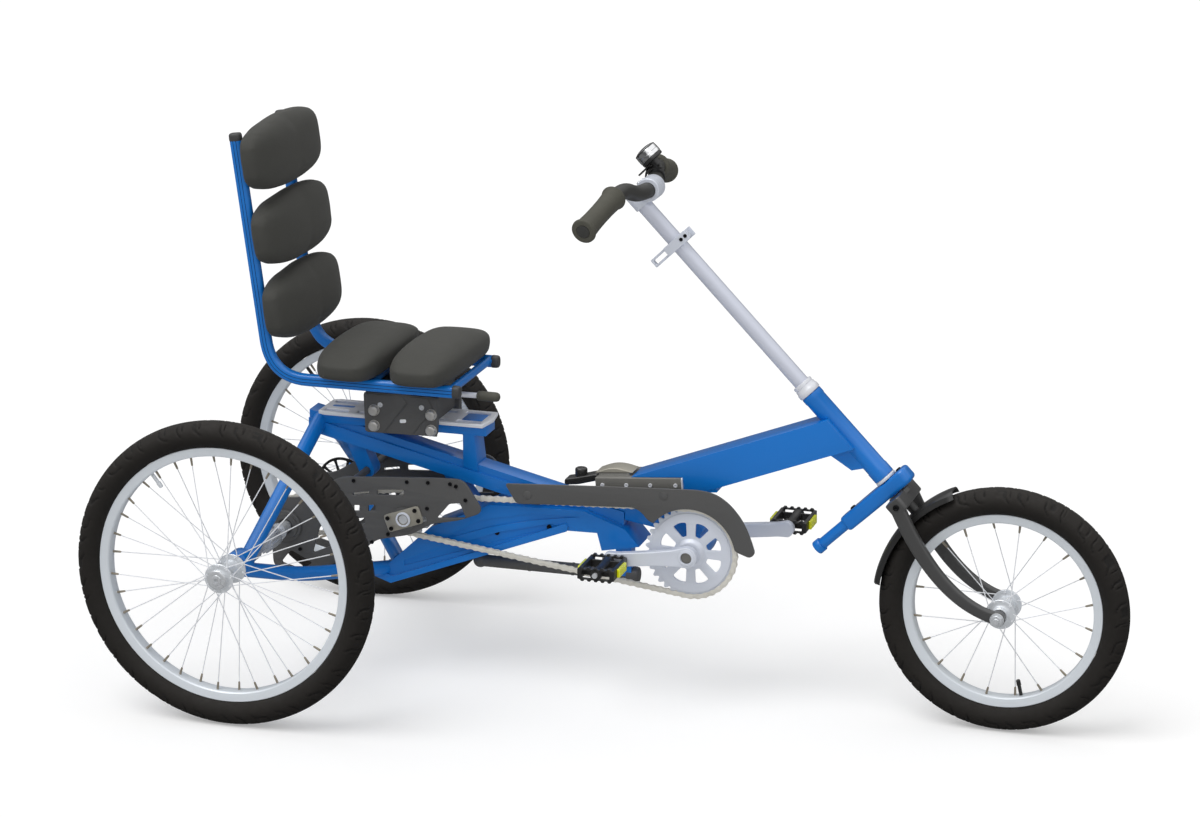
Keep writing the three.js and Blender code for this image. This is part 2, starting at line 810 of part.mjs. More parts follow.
// Intermediate shaft: cogs of both chains and the gear shell turn as one
function intermediateShaft() {
  const end = carrierSide + bearingPlateThickness + gap;
  const shaft = pin(0, 0, -end, end, shaftRadius, ringSides);
  const [body, neck] = [gearShellLength - 2 * gearShellSoft, gearShellRadius - gearShellSoft];
  const shell = turned([[0, 0], [neck, 0], [gearShellRadius, gearShellSoft],
    [gearShellRadius, gearShellSoft + body], [neck, gearShellLength], [0, gearShellLength]], ringSides);
  const cogs = [chainSide, secondChainSide].map((side) => toothedDisc(cogTeeth).translate(0, -side, 0));
  return join(shaft, shell.translate(0, secondChainSide / 2, 0), ...cogs);
}

add('intermediate_shaft', intermediateShaft().translate(shaftForward, 0, shaftHeight), 'silver');

// Carrier plates: one outline, as shares of its length and height, on both sides of the drive
const carrierShares = [[0, 0.69], [0.16, 0.715], [0.34, 0.93], [0.785, 0.995], [0.91, 1], [1, 0.73],
  [0.89, 0.64], [0.755, 0.585], [0.67, 0.477], [0.5, 0.4], [0.35, 0.13], [0.16, 0], [0.016, 0.07]];
const carrierWindowShares = [
  [[0.4, 0.72], [0.56, 0.8], [0.56, 0.86], [0.4, 0.84]],
  [[0.74, 0.66], [0.78, 0.79], [0.86, 0.79], [0.88, 0.68]],
  [[0.24, 0.22], [0.34, 0.3], [0.42, 0.46], [0.3, 0.56]],
  [[0.06, 0.12], [0.15, 0.07], [0.2, 0.14], [0.1, 0.24]],
];
const carrierArmShares = [[0.36, 0.7], [0.7, 0.75]];
const strutPinShare = 0.32;
const strutPin = [strutTopForward + strutPinShare * (strutFootForward - strutTopForward),
  strutTopHeight + strutPinShare * (strutFootHeight - strutTopHeight)];
const spacerPlaces = [[lugForward, lugHeight], strutPin];

const scaled = (shares, x0, x1, z0, z1) => shares.map(([a, b]) => [x0 + a * (x1 - x0), z0 + b * (z1 - z0)]);

function carrierPlate(pins) {
  const box = [carrierRear, carrierFront, carrierBase, carrierTop];
  const shape = outline(scaled(carrierShares, ...box), lugRadius);
  const [outer, inner] = [-carrierSide - overrun, -carrierSide + carrierThickness + overrun];
  const windows = carrierWindowShares.map((shares) => (
    sidePlate(outline(scaled(shares, ...box)), outer, inner)));
  const bores = [pin(0, rearRadius, outer, inner, around(axleRadius, ringSides), ringSides),
    pin(shaftForward, shaftHeight, outer, inner, around(shaftRadius, ringSides), ringSides)];
  const flat = cut(sidePlate(shape, -carrierSide, -carrierSide + carrierThickness), ...windows, ...bores);
  const middle = carrierThickness / 2 - carrierSide;
  const arms = spacerPlaces.map(([x, z], i) => {
    const [[rootX, rootZ]] = scaled([carrierArmShares[i]], ...box);
    return beam(at(rootX, middle, rootZ), at(x, middle, z), spacerRadius, carrierThickness - 2 * weld);
  });
  return join(flat, axleRing(), ...arms, ...pins);
}

// Two pins reach from the left plate through the spar's lug and the strut
function carrierPins() {
  const reach = carrierSide - carrierThickness;
  return spacerPlaces.map(([x, z]) => pin(x, z, -reach - weld, reach - gap, spacerRadius, smallSides));
}

function axleRing() {
  const [wide, narrow] = [splineRadius + 2 * carrierThickness, splineRadius + carrierThickness];
  const bore = around(axleRadius, ringSides);
  const ring = turned([[bore, 0], [wide, 0], [wide, carrierThickness], [narrow, 2 * carrierThickness],
    [bore, 2 * carrierThickness]], ringSides);
  return ring.rotateX(Math.PI).translate(0, weld - carrierSide, rearRadius);
}

function bearingPlate() {
  const face = carrierSide + gap;
  const [a, b] = [bearingPlateLength / 2, bearingPlateHeight / 2];
  const shape = outline([[-a, -b], [a, -b], [a, b], [-a, b]], carrierThickness);
  const half = bearingPlateThickness / 2;
  const bore = around(shaftRadius, ringSides);
  const centre = pin(0, 0, -face - bearingPlateThickness, -face + overrun, bore, ringSides);
  const profile = [[bore, 0], [bearingBossRadius, 0], [bearingBossRadius, half], [bore, half]];
  const boss = turned(profile, ringSides);
  const flat = cut(sidePlate(shape, -face - half, -face), centre);
  const whole = join(flat, boss.translate(0, weld - face - bearingPlateThickness, 0));
  return whole.rotateY(-bearingTilt).translate(shaftForward, 0, shaftHeight);
}

add('right_carrier_plate', carrierPlate([]), 'carbonGrey');
add('left_carrier_plate', mirrored(carrierPlate(carrierPins())), 'carbonGrey');
['right', 'left'].forEach((name) => add(`${name}_shaft_bearing`, onSide(name, bearingPlate()), 'silver'));

// Upper spar: tapering box with a raised rail along each lower edge, and the lug that holds the carrier
function sparSolid(grow) {
  const shape = outline([[sparRear, sparTopRear + grow], [sparFront + grow, sparTopFront + grow],
    [sparFront + grow, sparBaseFront - grow], [sparRear, sparBaseRear - grow]]);
  return sidePlate(shape, -sparWidth / 2 - grow, sparWidth / 2 + grow);
}

function railBand(grow) {
  const front = sparBaseAt(sparRailFront);
  return outline([[sparRear, sparBaseRear], [sparRailFront, front],
    [sparRailFront, front + sparRailHeight + grow], [sparRear, sparBaseRear + sparRailHeight + grow]]);
}

function sparRails() {
  const half = sparWidth / 2;
  return [1, -1].map((side) => sidePlate(railBand(0), side * (half - weld), side * (half + sparRailWidth)));
}

function slideFrame(along, up, side = 0) {
  const [c, s] = [Math.cos(slideTilt), Math.sin(slideTilt)];
  return at(slideForward + along * c - up * s, side, slideHeight + along * s + up * c);
}

const slideBox = (x0, x1, height, width, rise = 0) => (
  beam(slideFrame(x0, rise), slideFrame(x1, rise), height, width));
const housingSolid = (grow) => slideBox(-housingLength / 2 - grow, housingLength / 2 + grow,
  housingHeight + 2 * grow, housingWidth + 2 * grow);

function upperSpar() {
  const root = at(lugRootForward, 0, sparBaseAt(lugRootForward) + lugRadius);
  const lug = join(beam(root, at(lugForward, 0, lugHeight), 2 * lugRadius, lugWidth),
    pin(lugForward, lugHeight, -lugWidth / 2, lugWidth / 2, lugRadius));
  const body = join(sparSolid(0), ...sparRails(), lug);
  const bore = pin(lugForward, lugHeight, -lugWidth, lugWidth, around(spacerRadius, smallSides), smallSides);
  return cut(body, bore, strutSolid(gap));
}

function strutSolid(grow) {
  const from = at(strutTopForward, 0, strutTopHeight);
  const to = at(strutFootForward, 0, strutFootHeight);
  return beam(from, to, strutDepth + 2 * grow, strutWidth + 2 * grow);
}

const beamShares = [[0, 0.07], [0.07, 0], [0.47, 0.457], [0.735, 0.765], [0.845, 0.77], [0.862, 0.58],
  [1, 0.66], [0.947, 0.837], [0.79, 1], [0.447, 0.974], [0.22, 0.66], [0.048, 0.176], [0, 0.08]];
const beamFlangeShares = [[0, 0.07], [0.07, 0], [0.47, 0.457], [0.735, 0.765], [0.74, 0.82], [0.73, 0.85],
  [0.47, 0.53], [0.08, 0.08], [0.03, 0.12], [0, 0.08]];
const hangerTopShare = 0.7;
const beamGrooveShares = [
  [[0.24, 0.5], [0.44, 0.72], [0.6, 0.84], [0.78, 0.93], [0.6, 0.92], [0.42, 0.8]],
  [[0.12, 0.2], [0.5, 0.6], [0.7, 0.8], [0.68, 0.83], [0.48, 0.68], [0.12, 0.26]],
];

// A plate over the beam's length; the first half of its points are the lower edge
function beamPlate(shares, width, grow) {
  const points = scaled(shares, beamRear, beamFront, beamBase, beamTop);
  const edge = points.map(([x, z], i) => [x, z + (i <= points.length / 2 ? -grow : grow)]);
  return sidePlate(outline(edge), -width / 2 - grow, width / 2 + grow);
}

const beamSolid = (grow) => beamPlate(beamShares, beamWidth, grow);
const beamFlange = (grow) => beamPlate(beamFlangeShares, beamWidth + 2 * beamFlangeLip, grow);

function lowerBeam() {
  const box = [beamRear, beamFront, beamBase, beamTop];
  const half = beamWidth / 2;
  const hanger = block(braceFront - hangerLength, braceFront, -hangerWidth / 2, hangerWidth / 2,
    braceHeight + braceRise, beamBase + hangerTopShare * (beamTop - beamBase));
  const grooves = [1, -1].flatMap((side) => beamGrooveShares.map((shares) => (
    sidePlate(outline(scaled(shares, ...box)), side * (half - beamGroove), side * (half + overrun)))));
  const body = cut(join(beamSolid(0), beamFlange(0), hanger), ...grooves, braceTube(gap), sparSolid(gap));
  const bore = pin(...strutPin, -strutWidth, strutWidth, around(spacerRadius, smallSides), smallSides);
  return cut(join(body, strutSolid(0)), bore);
}

function braceTube(grow) {
  const rise = (x) => braceHeight + braceRise * (x - braceRear) / (braceFront - braceRear);
  const from = at(braceRear, 0, rise(braceRear));
  const to = at(braceFront + braceRadius, 0, rise(braceFront + braceRadius));
  return rod(from, to, braceRadius + grow, ringSides);
}

function lowerBrace() {
  const soft = braceCapRadius - braceRadius;
  const knob = turned([[0, 0], [braceRadius, 0], [braceCapRadius, soft],
    [braceCapRadius, braceCapLength - soft], [braceRadius, braceCapLength], [0, braceCapLength]], ringSides);
  return join(braceTube(0), stand(knob, at(braceRear - soft, 0, braceHeight), alongX));
}

add('upper_spar', upperSpar(), 'frameBlue');
add('lower_beam', lowerBeam(), 'frameBlue');
add('lower_brace', lowerBrace(), 'carbonGrey');

// Rear stays with the axle housings, and the tubes that run forward to the lower beam
function stayTube() {
  const top = at(stayTopForward, -sparWidth / 4, stayTopHeight);
  return rod(top, at(stayEndForward, -stayEndSide, stayEndHeight), stayRadius, 10);
}

function axleHousing() {
  const half = axleHousingLength / 2;
  return pin(0, rearRadius, -stayEndSide - half, -stayEndSide + half, axleHousingRadius);
}

function railBoxTool() {
  return block(sparRear - 4 * stayRadius, railFront, -railWidth / 2 - gap, railWidth / 2 + gap,
    railTop - railThickness - railBoxHeight - gap, railTop + 2 * stayRadius);
}

const lowerTubeEndShare = [0.06, 0.13];

function lowerTube() {
  const start = at(0, -stayEndSide, rearRadius - axleHousingRadius / 2);
  const bend = at(lowerTubeForward, -lowerTubeSide, lowerTubeHeight);
  const [[x, z]] = scaled([lowerTubeEndShare], beamRear, beamFront, beamBase, beamTop);
  const path = route([start, bend, at(x, -beamWidth / 4, z)], lowerTubeBend);
  return tube(path, 2 * lowerTubeRadius, 2 * lowerTubeRadius, 7);
}

function rearStay() {
  const bore = pin(0, rearRadius, -track, 0, around(axleRadius, ringSides), ringSides);
  return cut(join(stayTube(), axleHousing(), lowerTube()), bore, sparSolid(gap), railGrooveTool(),
    railBoxTool(), beamSolid(2 * gap), beamFlange(2 * gap));
}

['right', 'left'].forEach((name) => add(`${name}_rear_stay`, onSide(name, rearStay()), 'frameBlue'));

// Seat rail: slotted plate over a box that stands on the spar
function railPlate() {
  const half = railWidth / 2;
  const bevel = railRear + 2 * railThickness;
  const shape = outline([[railRear, -half + railThickness], [bevel, -half], [railFront, -half],
    [railFront + railThickness, 0], [railFront, half], [bevel, half], [railRear, half - railThickness]]);
  const count = Math.floor((railFront - railRear) / (railSlotLength * railSlotSpacingShare));
  const low = railTop - railThickness - overrun;
  const slots = Array.from({ length: count }, (_, i) => {
    const x = railRear + (i + 0.5) * (railFront - railRear) / count;
    return [-railSlotSide, railSlotSide].map((y) => (
      flatPlate(outline(slot(x, y, railSlotLength, railSlotWidth)), low, railTop + overrun)));
  }).flat();
  return cut(flatPlate(shape, railTop - railThickness, railTop), ...slots);
}

function railBox() {
  const half = railBoxWidth / 2;
  const top = railTop - railThickness - gap;
  const body = block(railRear, railFront, -half, half, top - railBoxHeight, top);
  const foot = sparTopAt(railLegForward) - railLegLength;
  const leg = sidePlate(outline([[railLegForward - railLegLength, top - railBoxHeight / 2],
    [railLegForward, top - railBoxHeight / 2], [railLegForward + railLegLength / 2, foot],
    [railLegForward - railLegLength, foot]]), -half, half);
  return cut(join(body, leg), sparSolid(gap), railGrooveTool());
}

function railGrooveTool() {
  const half = sparWidth / 2 + sparRailWidth + gap;
  return sidePlate(railBand(gap), -half, half);
}

add('seat_rail', railPlate(), 'silver');
add('rail_box', railBox(), 'frameBlue');

// Seat carriage: two bolted cheeks and the block between them that rides on the rail
const carriageFront = carriageRear + carriageLength;

function carriage() {
  const half = carriageWidth / 2;
  const inner = half - carriagePlateThickness;
  const rise = seatTubeLevel - crossBarRadius - gap;
  const [rear, front] = [carriageRear + carriagePlateThickness, carriageFront - carriagePlateThickness];
  const cheek = outline(scaled(cheekShares, carriageRear, carriageFront, carriageBase, carriagePlateTop),
    carriagePlateThickness / 2);
  const middle = outline([[rear, railTop + gap], [front, railTop + gap], [front, rise], [rear, rise]]);
  const window = sidePlate(outline(slot((rear + front) / 2, (railTop + rise) / 2, carriageLength / 2,
    (rise - railTop) / 2)), -half, half);
  const cheeks = [1, -1].map((side) => sidePlate(cheek, side * inner, side * half));
  const core = cut(sidePlate(middle, -inner - weld, inner + weld), window);
  const heads = boltHeads();
  return join(core, ...cheeks, ...heads, ...heads.map(mirrored));
}

const cheekShares = [[0.016, 0], [0.969, 0.03], [1, 1], [0, 1]];

function boltHeads() {
  const face = carriageWidth / 2 - weld;
  const spots = [carriageRear + carriageBoltInset, carriageFront - carriageBoltInset].flatMap((x) => (
    [0, carriageBoltRise].map((z) => [x + carriageBoltShift, carriageBase + carriageBoltFoot + z])));
  return spots.map(([x, z]) => pin(x, z, -face - carriageBoltHead, -face, carriageBoltRadius, smallSides));
}

const leverPivot = carriageFront - carriagePlateThickness + gap + leverGripRadius;

function latchLever() {
  const [near, far] = [-leverSide - leverGripRadius, -leverSide + leverGripRadius];
  const eye = pin(leverPivot, leverHeight, near, far, leverGripRadius, ringSides);
  const tip = leverPivot + leverRodLength;
  const stick = rod(at(leverPivot, -leverSide, leverHeight), at(tip, -leverSide, leverHeight), leverRodRadius,
    smallSides);
  return join(eye, stick);
}

function latchGrip() {
  const tip = leverGripRadius - leverGripSoft;
  const profile = [[0, 0], [tip, 0], [leverGripRadius, leverGripSoft],
    [leverGripRadius, leverGripLength - leverGripSoft], [tip, leverGripLength], [0, leverGripLength]];
  const start = at(leverPivot + leverRodLength + gap, -leverSide, leverHeight);
  return stand(turned(profile, ringSides), start, alongX);
}

add('seat_carriage', carriage(), 'carbonGrey');
add('latch_lever', latchLever(), 'silver');
add('latch_grip', latchGrip(), 'gripGrey');

// Seat frame: two bent oval tubes with plugged ends, and the bars welded across them
const backBendForward = backFootForward + seatBendShare * seatBend;

function seatTube() {
  const side = -seatTubeSide;
  const path = route([at(seatTubeFront + tubeCapLength, side, seatTubeLevel),
    at(backBendForward, side, seatTubeLevel), backAt(backTopHeight + tubeCapLength, side)], seatBend);
  return tube(path, seatTubeHeight, seatTubeWidth, 11);
}

const backSlope = Math.atan2(backBendForward - backTopForward, backTopHeight - seatTubeLevel);
const backWay = at(-Math.sin(backSlope), 0, Math.cos(backSlope));
const backAt = (height, side = 0) => {
  const rise = (height - seatTubeLevel) / (backTopHeight - seatTubeLevel);
  return at(backBendForward + rise * (backTopForward - backBendForward), side, height);
};

const backPadFoot = seatTubeLevel + backPadStart;
const backPitch = (backTopHeight + backPadOverhang - backPadFoot) / backPads;
const backBarHeights = Array.from({ length: backPads }, (_, i) => backPadFoot + (i + 0.5) * backPitch);

function crossBars() {
  const bar = (spot) => pin(spot.x, spot.z, -seatTubeSide, seatTubeSide, crossBarRadius, smallSides);
  const seatBars = seatBarPlaces.map((x) => bar(at(x, 0, seatTubeLevel)));
  return [...seatBars, ...backBarHeights.map((z) => bar(backAt(z)))];
}

add('seat_frame', join(seatTube(), ...crossBars(), mirrored(seatTube())), 'frameBlue');

// A pad lies on the XY plane: crowned on top, flatter below, its sides drawn in at the seam
function pad(length, wrap) {
  const power = (value, exponent) => Math.sign(value) * Math.abs(value) ** exponent;
  const g = closed(new THREE.SphereGeometry(1, padAround, padRings));
  const place = g.getAttribute('position');
  for (let i = 0; i < place.count; i += 1) {
    const spot = at(0, 0, 0).fromBufferAttribute(place, i);
    const turn = Math.atan2(spot.z, spot.x);
    const level = spot.y;
    const spread = Math.abs(Math.sqrt(Math.max(0, 1 - level * level))) ** padSidePower;
    const drawn = spread * (1 - 2 * padDrawIn / length * Math.exp(-((level / padSeamShare) ** 2)));
    const x = length / 2 * power(Math.cos(turn), padOutlinePower) * drawn;
    const y = padWidth / 2 * power(Math.sin(turn), padOutlinePower) * drawn;
    const below = Math.max(-padBase, padFlatShare * padBase * power(level, padSidePower));
    const z = level > 0 ? padCrown * level : below;
    place.setXYZ(i, x, y, z + wrap * (2 * y / padWidth) ** 2);
  }
  return g;
}

function seatPad(forward) {
  const tubeTop = seatTubeLevel + seatTubeHeight / 2 * Math.cos(Math.PI / smallSides);
  return pad(padLength, 0).translate(forward, 0, tubeTop + padBase + gap);
}

function backPad(height) {
  const lift = crossBarRadius + padBase + gap;
  const way = at(Math.cos(backSlope), 0, Math.sin(backSlope));
  const cushion = pad(backPitch - backPadGap, backPadWrap);
  return lay(cushion, backAt(height).addScaledVector(way, lift), backWay.clone().negate(), way);
}

['rear', 'front'].forEach((name, i) => add(`seat_pad_${name}`, seatPad(seatPadPlaces[i]), 'padCharcoal'));
['lower', 'middle', 'upper'].forEach((name, i) => (
  add(`back_pad_${name}`, backPad(backBarHeights[i]), 'padCharcoal')));

// Chain guard: flat cover with a hooked front, a lip along its top edge and two bosses on its back
const guardShares = [[0.048, 0.523], [0, 0.83], [0.776, 1], [0.823, 0.981], [0.89, 0.832], [0.947, 0.589],
  [0.979, 0.336], [1, 0.084], [0.979, 0], [0.917, 0.084], [0.85, 0.4], [0.585, 0.4], [0.535, 0.636]];
const guardLipShares = [[0.002, 0.8], [0.001, 0.824], [0.776, 0.993], [0.822, 0.975], [0.888, 0.828],
  [0.945, 0.588], [0.935, 0.57], [0.878, 0.8], [0.815, 0.935], [0.776, 0.95]];

function guardHook() {
  const back = -guardSide + guardThickness + guardLip;
  const sides = 2 * roundSides;
  return pin(crankForward, crankHeight, -guardSide - overrun, back + overrun, guardHookRadius, sides);
}

function chainGuard() {
  const box = [guardRear, guardFront, guardBase, guardTop];
  const [face, back] = [-guardSide, -guardSide + guardThickness];
  const sheet = sidePlate(outline(scaled(guardShares, ...box), guardLip / 2), face, back);
  const lip = sidePlate(outline(scaled(guardLipShares, ...box)), face + weld, back + guardLip);
  const spots = [[guardRear + guardBossTail, guardBase + guardBossRise, sparWidth / 2],
    [guardRear + guardBossNose, guardTop - guardBossDrop, housingWidth / 2]];
  const bosses = spots.map(([x, z, side]) => (
    pin(x, z, face + weld, -side - gap, guardBossRadius, smallSides)));
  return join(cut(join(sheet, lip), guardHook()), ...bosses);
}

add('chain_guard', chainGuard(), 'carbonGrey');

// Crank bracket: the bridge from the boom housing to the bottom bracket shell
const bracketShares = [[0, 0.42], [0, 1], [0.7, 1], [1, 0.3], [0.92, 0], [0.6, 0.25]];

function crankBracket() {
  const box = [bracketRear, crankForward + shellRadius / 2, crankHeight, slideHeight];
  const half = bracketWidth / 2;
  const web = sidePlate(outline(scaled(bracketShares, ...box)), -half, half);
  const shell = pin(crankForward, crankHeight, -shellHalf, shellHalf, shellRadius);
  const bore = pin(crankForward, crankHeight, -shellHalf - overrun, shellHalf + overrun,
    around(spindleRadius, smallSides), smallSides);
  return cut(join(web, shell), bore, housingSolid(gap), beamSolid(gap), sparSolid(gap));
}

add('crank_bracket', crankBracket(), 'frameBlue');

// Cranks, spindle, chainring and pedals
function crank(name) {
  const [inner, outer] = [crankFace - crankThickness, crankFace];
  const [root, tip] = [crankRoot / 2, crankTip / 2];
  const points = [[-root, -root], [crankLength, -tip], [crankLength + tip, 0], [crankLength, tip],
    [-root, root]];
  const arm = sidePlate(outline(points, crankTip / 3), inner, outer);
  const eye = pin(0, 0, inner - crankEye, inner + crankEye, crankRoot / 2);
  const axle = pin(crankLength, 0, inner, crankFace + pedalStandoff + pedalWidth - pedalRail, pedalAxleRadius,
    smallSides);
  const bore = pin(0, 0, inner - crankEye - overrun, outer + overrun,
    around(spindleRadius, smallSides), smallSides);
  const whole = cut(join(arm, eye, axle), bore);
  const turn = name === 'left' ? -crankTurn : Math.PI - crankTurn;
  return (name === 'left' ? whole : mirrored(whole)).rotateY(turn).translate(crankForward, 0, crankHeight);
}

function chainring() {
  const windows = Array.from({ length: ringHoles }, (_, i) => {
    const turn = 2 * Math.PI * (i + 0.5) / ringHoles;
    return roundHole(ringHoleCircle * Math.cos(turn), ringHoleCircle * Math.sin(turn), ringHoleRadius);
  });
  const profile = [[0, 0], [ringDishRadius, 0], [ringDishTip, ringDishHeight], [0, ringDishHeight]];
  const dish = turned(profile, ringSides).rotateX(Math.PI).translate(0, toothThickness / 2, 0);
  const body = join(toothedDisc(ringTeeth, windows), dish);
  const bore = pin(0, 0, -crankFace, crankFace, around(spindleRadius, smallSides), smallSides);
  return cut(body, bore).translate(crankForward, -chainSide, crankHeight);
}

add('right_crank', crank('right'), 'silver');
add('left_crank', crank('left'), 'silver');
add('crank_spindle', pin(crankForward, crankHeight, crankEye - crankFace, crankFace - crankEye,
  spindleRadius, smallSides), 'steel');
add('chainring', chainring(), 'silver');

// A pedal built round its own axle: toothed cage rails, end plates, barrel and two reflectors
function pedal() {
  const [a, b, h] = [pedalLength / 2, pedalWidth / 2, pedalThickness / 2];
  const edge = [];
  const crowned = (x, z) => [x, z - pedalCrownShare * pedalRail * (x / a) ** 2];
  for (let i = 0; i < pedalTeeth; i += 1) {
    const step = pedalLength / pedalTeeth;
    const [start, end] = pedalToothShares.map((share) => -a + (i + share) * step);
    edge.push(crowned(-a + i * step, h - pedalRail / 2), crowned(start, h), crowned(end, h));
  }
  edge.push(crowned(a, h - pedalRail / 2));
  const cage = outline([...edge, ...edge.map(([x, z]) => [-x, -z])]);
  cage.holes.push(outline(slot(0, 0, pedalWindowShare * pedalLength, h)));
  const rails = [-b, b - pedalRail].map((y) => sidePlate(cage, y, y + pedalRail));
  const endHeight = h - pedalRail / 2;
  const ends = [-a, a - pedalRail].map((x) => block(x, x + pedalRail, -b, b, -endHeight, endHeight));
  const barrel = pin(0, 0, -b, b, 2 * pedalAxleRadius, smallSides);
  const wings = block(-a, a, -pedalRail / 2, pedalRail / 2, -h / 2, h / 2);
  const bore = pin(0, 0, -b - overrun, b + overrun, around(pedalAxleRadius, smallSides), smallSides);
  return cut(join(rails[0], rails[1], ...ends, barrel, wings), bore);
}

function reflectors() {
  const a = pedalLength / 2 - weld;
  const [length, height] = [reflectorLength / 2, reflectorHeight / 2];
  return [-a - reflectorThickness, a].map((x) => (
    block(x, x + reflectorThickness, -length, length, -height, height)));
}

const pedalSide = crankFace + pedalStandoff + pedalWidth / 2;
const [pedalReach, pedalRise] = [crankLength * Math.cos(crankTurn), crankLength * Math.sin(crankTurn)];
for (const [name, side] of [['right', -1], ['left', 1]]) {
  const whole = join(pedal(), ...reflectors());
  add(`${name}_pedal`, whole.translate(crankForward + side * pedalReach, side * pedalSide,
    crankHeight + side * pedalRise), 'plasticBlack');
}

// Boom: the housing on the frame, its cam lever, and the stub that the front beam slides on
function boomHousing() {
  const bore = slideBox(-housingLength / 2 - overrun, housingLength / 2 + overrun,
    housingHeight - 2 * housingWall, housingWidth - 2 * housingWall);
  return cut(join(housingSolid(0), housingCover(0)), bore);
}

function housingCover(grow) {
  const [rear, front] = [-coverPlace - coverLength / 2 - grow, -coverPlace + coverLength / 2 + grow];
  const rise = (housingHeight + coverHeight) / 2 - weld;
  return slideBox(rear, front, coverHeight + 2 * grow, coverWidth + 2 * grow, rise);
}

const boomLeverPlace = slideFrame(-(housingLength + boomLeverThickness) / 2 - gap, boomLeverRise);

function boomLever() {
  const half = boomLeverThickness / 2;
  const eye = pin(0, 0, -boomLeverWidth / 2, boomLeverWidth / 2, half, ringSides);
  const shape = outline([[0, half], [0, -half], [-boomLeverLength, -half - boomLeverDrop],
    [-boomLeverLength, half - boomLeverDrop]], half / 2);
  const paddle = sidePlate(shape, -boomLeverWidth / 2, boomLeverWidth / 2);
  const knob = rod(at(-boomKnobPlace, 0, -half), at(-boomKnobPlace, 0, half + boomKnobHeight - half / 2),
    boomKnobRadius, ringSides);
  return join(eye, paddle, knob).translate(boomLeverPlace.x, 0, boomLeverPlace.z);
}

const headWay = at(Math.cos(headAngle), 0, -Math.sin(headAngle));
const acrossWay = at(-headWay.z, 0, headWay.x);
const columnTop = at(wheelbase, 0, frontRadius).addScaledVector(headWay, -axleAlong)
  .addScaledVector(acrossWay, -forkOffset);
const headAt = (along, across = 0) => columnTop.clone()
  .addScaledVector(headWay, along).addScaledVector(acrossWay, across);

const headRod = (from, to, radius, sides = roundSides) => rod(headAt(from), headAt(to), radius, sides);

function frontBeam() {
  const rear = at(slideForward - frontBeamTail, 0, slideHeight - frontBeamTailDrop);
  const front = headAt(columnRise + frontBeamNoseAlong, frontBeamNoseAcross);
  const box = beam(rear, front, frontBeamHeight, frontBeamWidth);
  const low = headAt(headTubeEnd - headTubeRadius);
  const root = rear.clone().lerp(front, gussetRootShare);
  const gusset = sidePlate(outline([[root.x, root.z], [front.x, front.z], [low.x, low.z],
    [low.x - 2 * headTubeRadius, low.z - headTubeRadius / 2]]), -gussetThickness / 2, gussetThickness / 2);
  const [reach, side] = [frontBeamForwardReach, frontBeamWidth];
  const ahead = lay(block(0, reach, -side, side, 0, reach), headAt(headTubeStart - headTubeRadius), headWay);
  const top = housingHeight / 2 + gap;
  const below = slideBox(-housingLength, housingLength / 2 + gap, 2 * frontBeamHeight, 2 * frontBeamWidth,
    top - frontBeamHeight);
  const body = cut(join(box, gusset), below, housingCover(gap), ahead);
  const stub = slideBox(-housingLength / 2, housingLength / 2 + frontBeamHeight,
    housingHeight - 2 * housingWall - 2 * gap, housingWidth - 2 * housingWall - 2 * gap);
  return cut(join(body, stub, headRod(headTubeStart, headTubeEnd, headTubeRadius)),
    headRod(headTubeStart - overrun, headTubeEnd + overrun, around(columnRadius)));
}

// A stepped ring round the column, from steps of radius and place along the steering axis
function columnRing(steps) {
  const bore = around(columnRadius, ringSides);
  const start = steps[0][1];
  const outside = steps.map(([r, place]) => [r, place - start]);
  const profile = [[bore, 0], ...outside, [bore, outside.at(-1)[1]]];
  return stand(turned(profile, ringSides), headAt(start), headWay);
}

function upperHeadset() {
  const step = headTubeStart - cupLength;
  const neck = cupRadius - overrun;
  return columnRing([[neck, collarStart], [neck, step], [cupRadius, step], [cupRadius, headTubeStart - gap]]);
}

add('boom_housing', boomHousing(), 'silver');
add('boom_lever', boomLever(), 'plasticBlack');
add('front_beam', frontBeam(), 'frameBlue');
add('headset_upper', upperHeadset(), 'silver');
add('headset_lower', columnRing([[cupRadius, headTubeEnd + gap], [cupRadius, armStart - gap]]), 'silver');

// Steering column, clamp bracket and lever arm
function clampBracket() {
  const half = clampPlateWidth / 2;
  const outer = columnRadius + clampRingWall;
  const shape = outline([[-clampPlateBack, -half], [clampPlateFront, -half], [clampPlateFront, half],
    [-clampPlateBack, half]], half / 2);
  const bar = sidePlate(shape, -clampPlateThickness / 2, clampPlateThickness / 2);
  const reach = clampPlateBack - outer - 2 * clampSlotWidth;
  const window = sidePlate(outline(slot(-outer - clampSlotWidth - reach / 2, 0, reach, clampSlotWidth)),
    -clampPlateThickness, clampPlateThickness);
  const flat = lay(cut(bar, window), headAt(clampPlace), acrossWay, headWay);
  const ring = headRod(clampPlace - half, clampPlace + half, outer, ringSides);
  return cut(join(flat, ring), headRod(0, 2 * clampPlace, around(columnRadius, ringSides), ringSides));
}

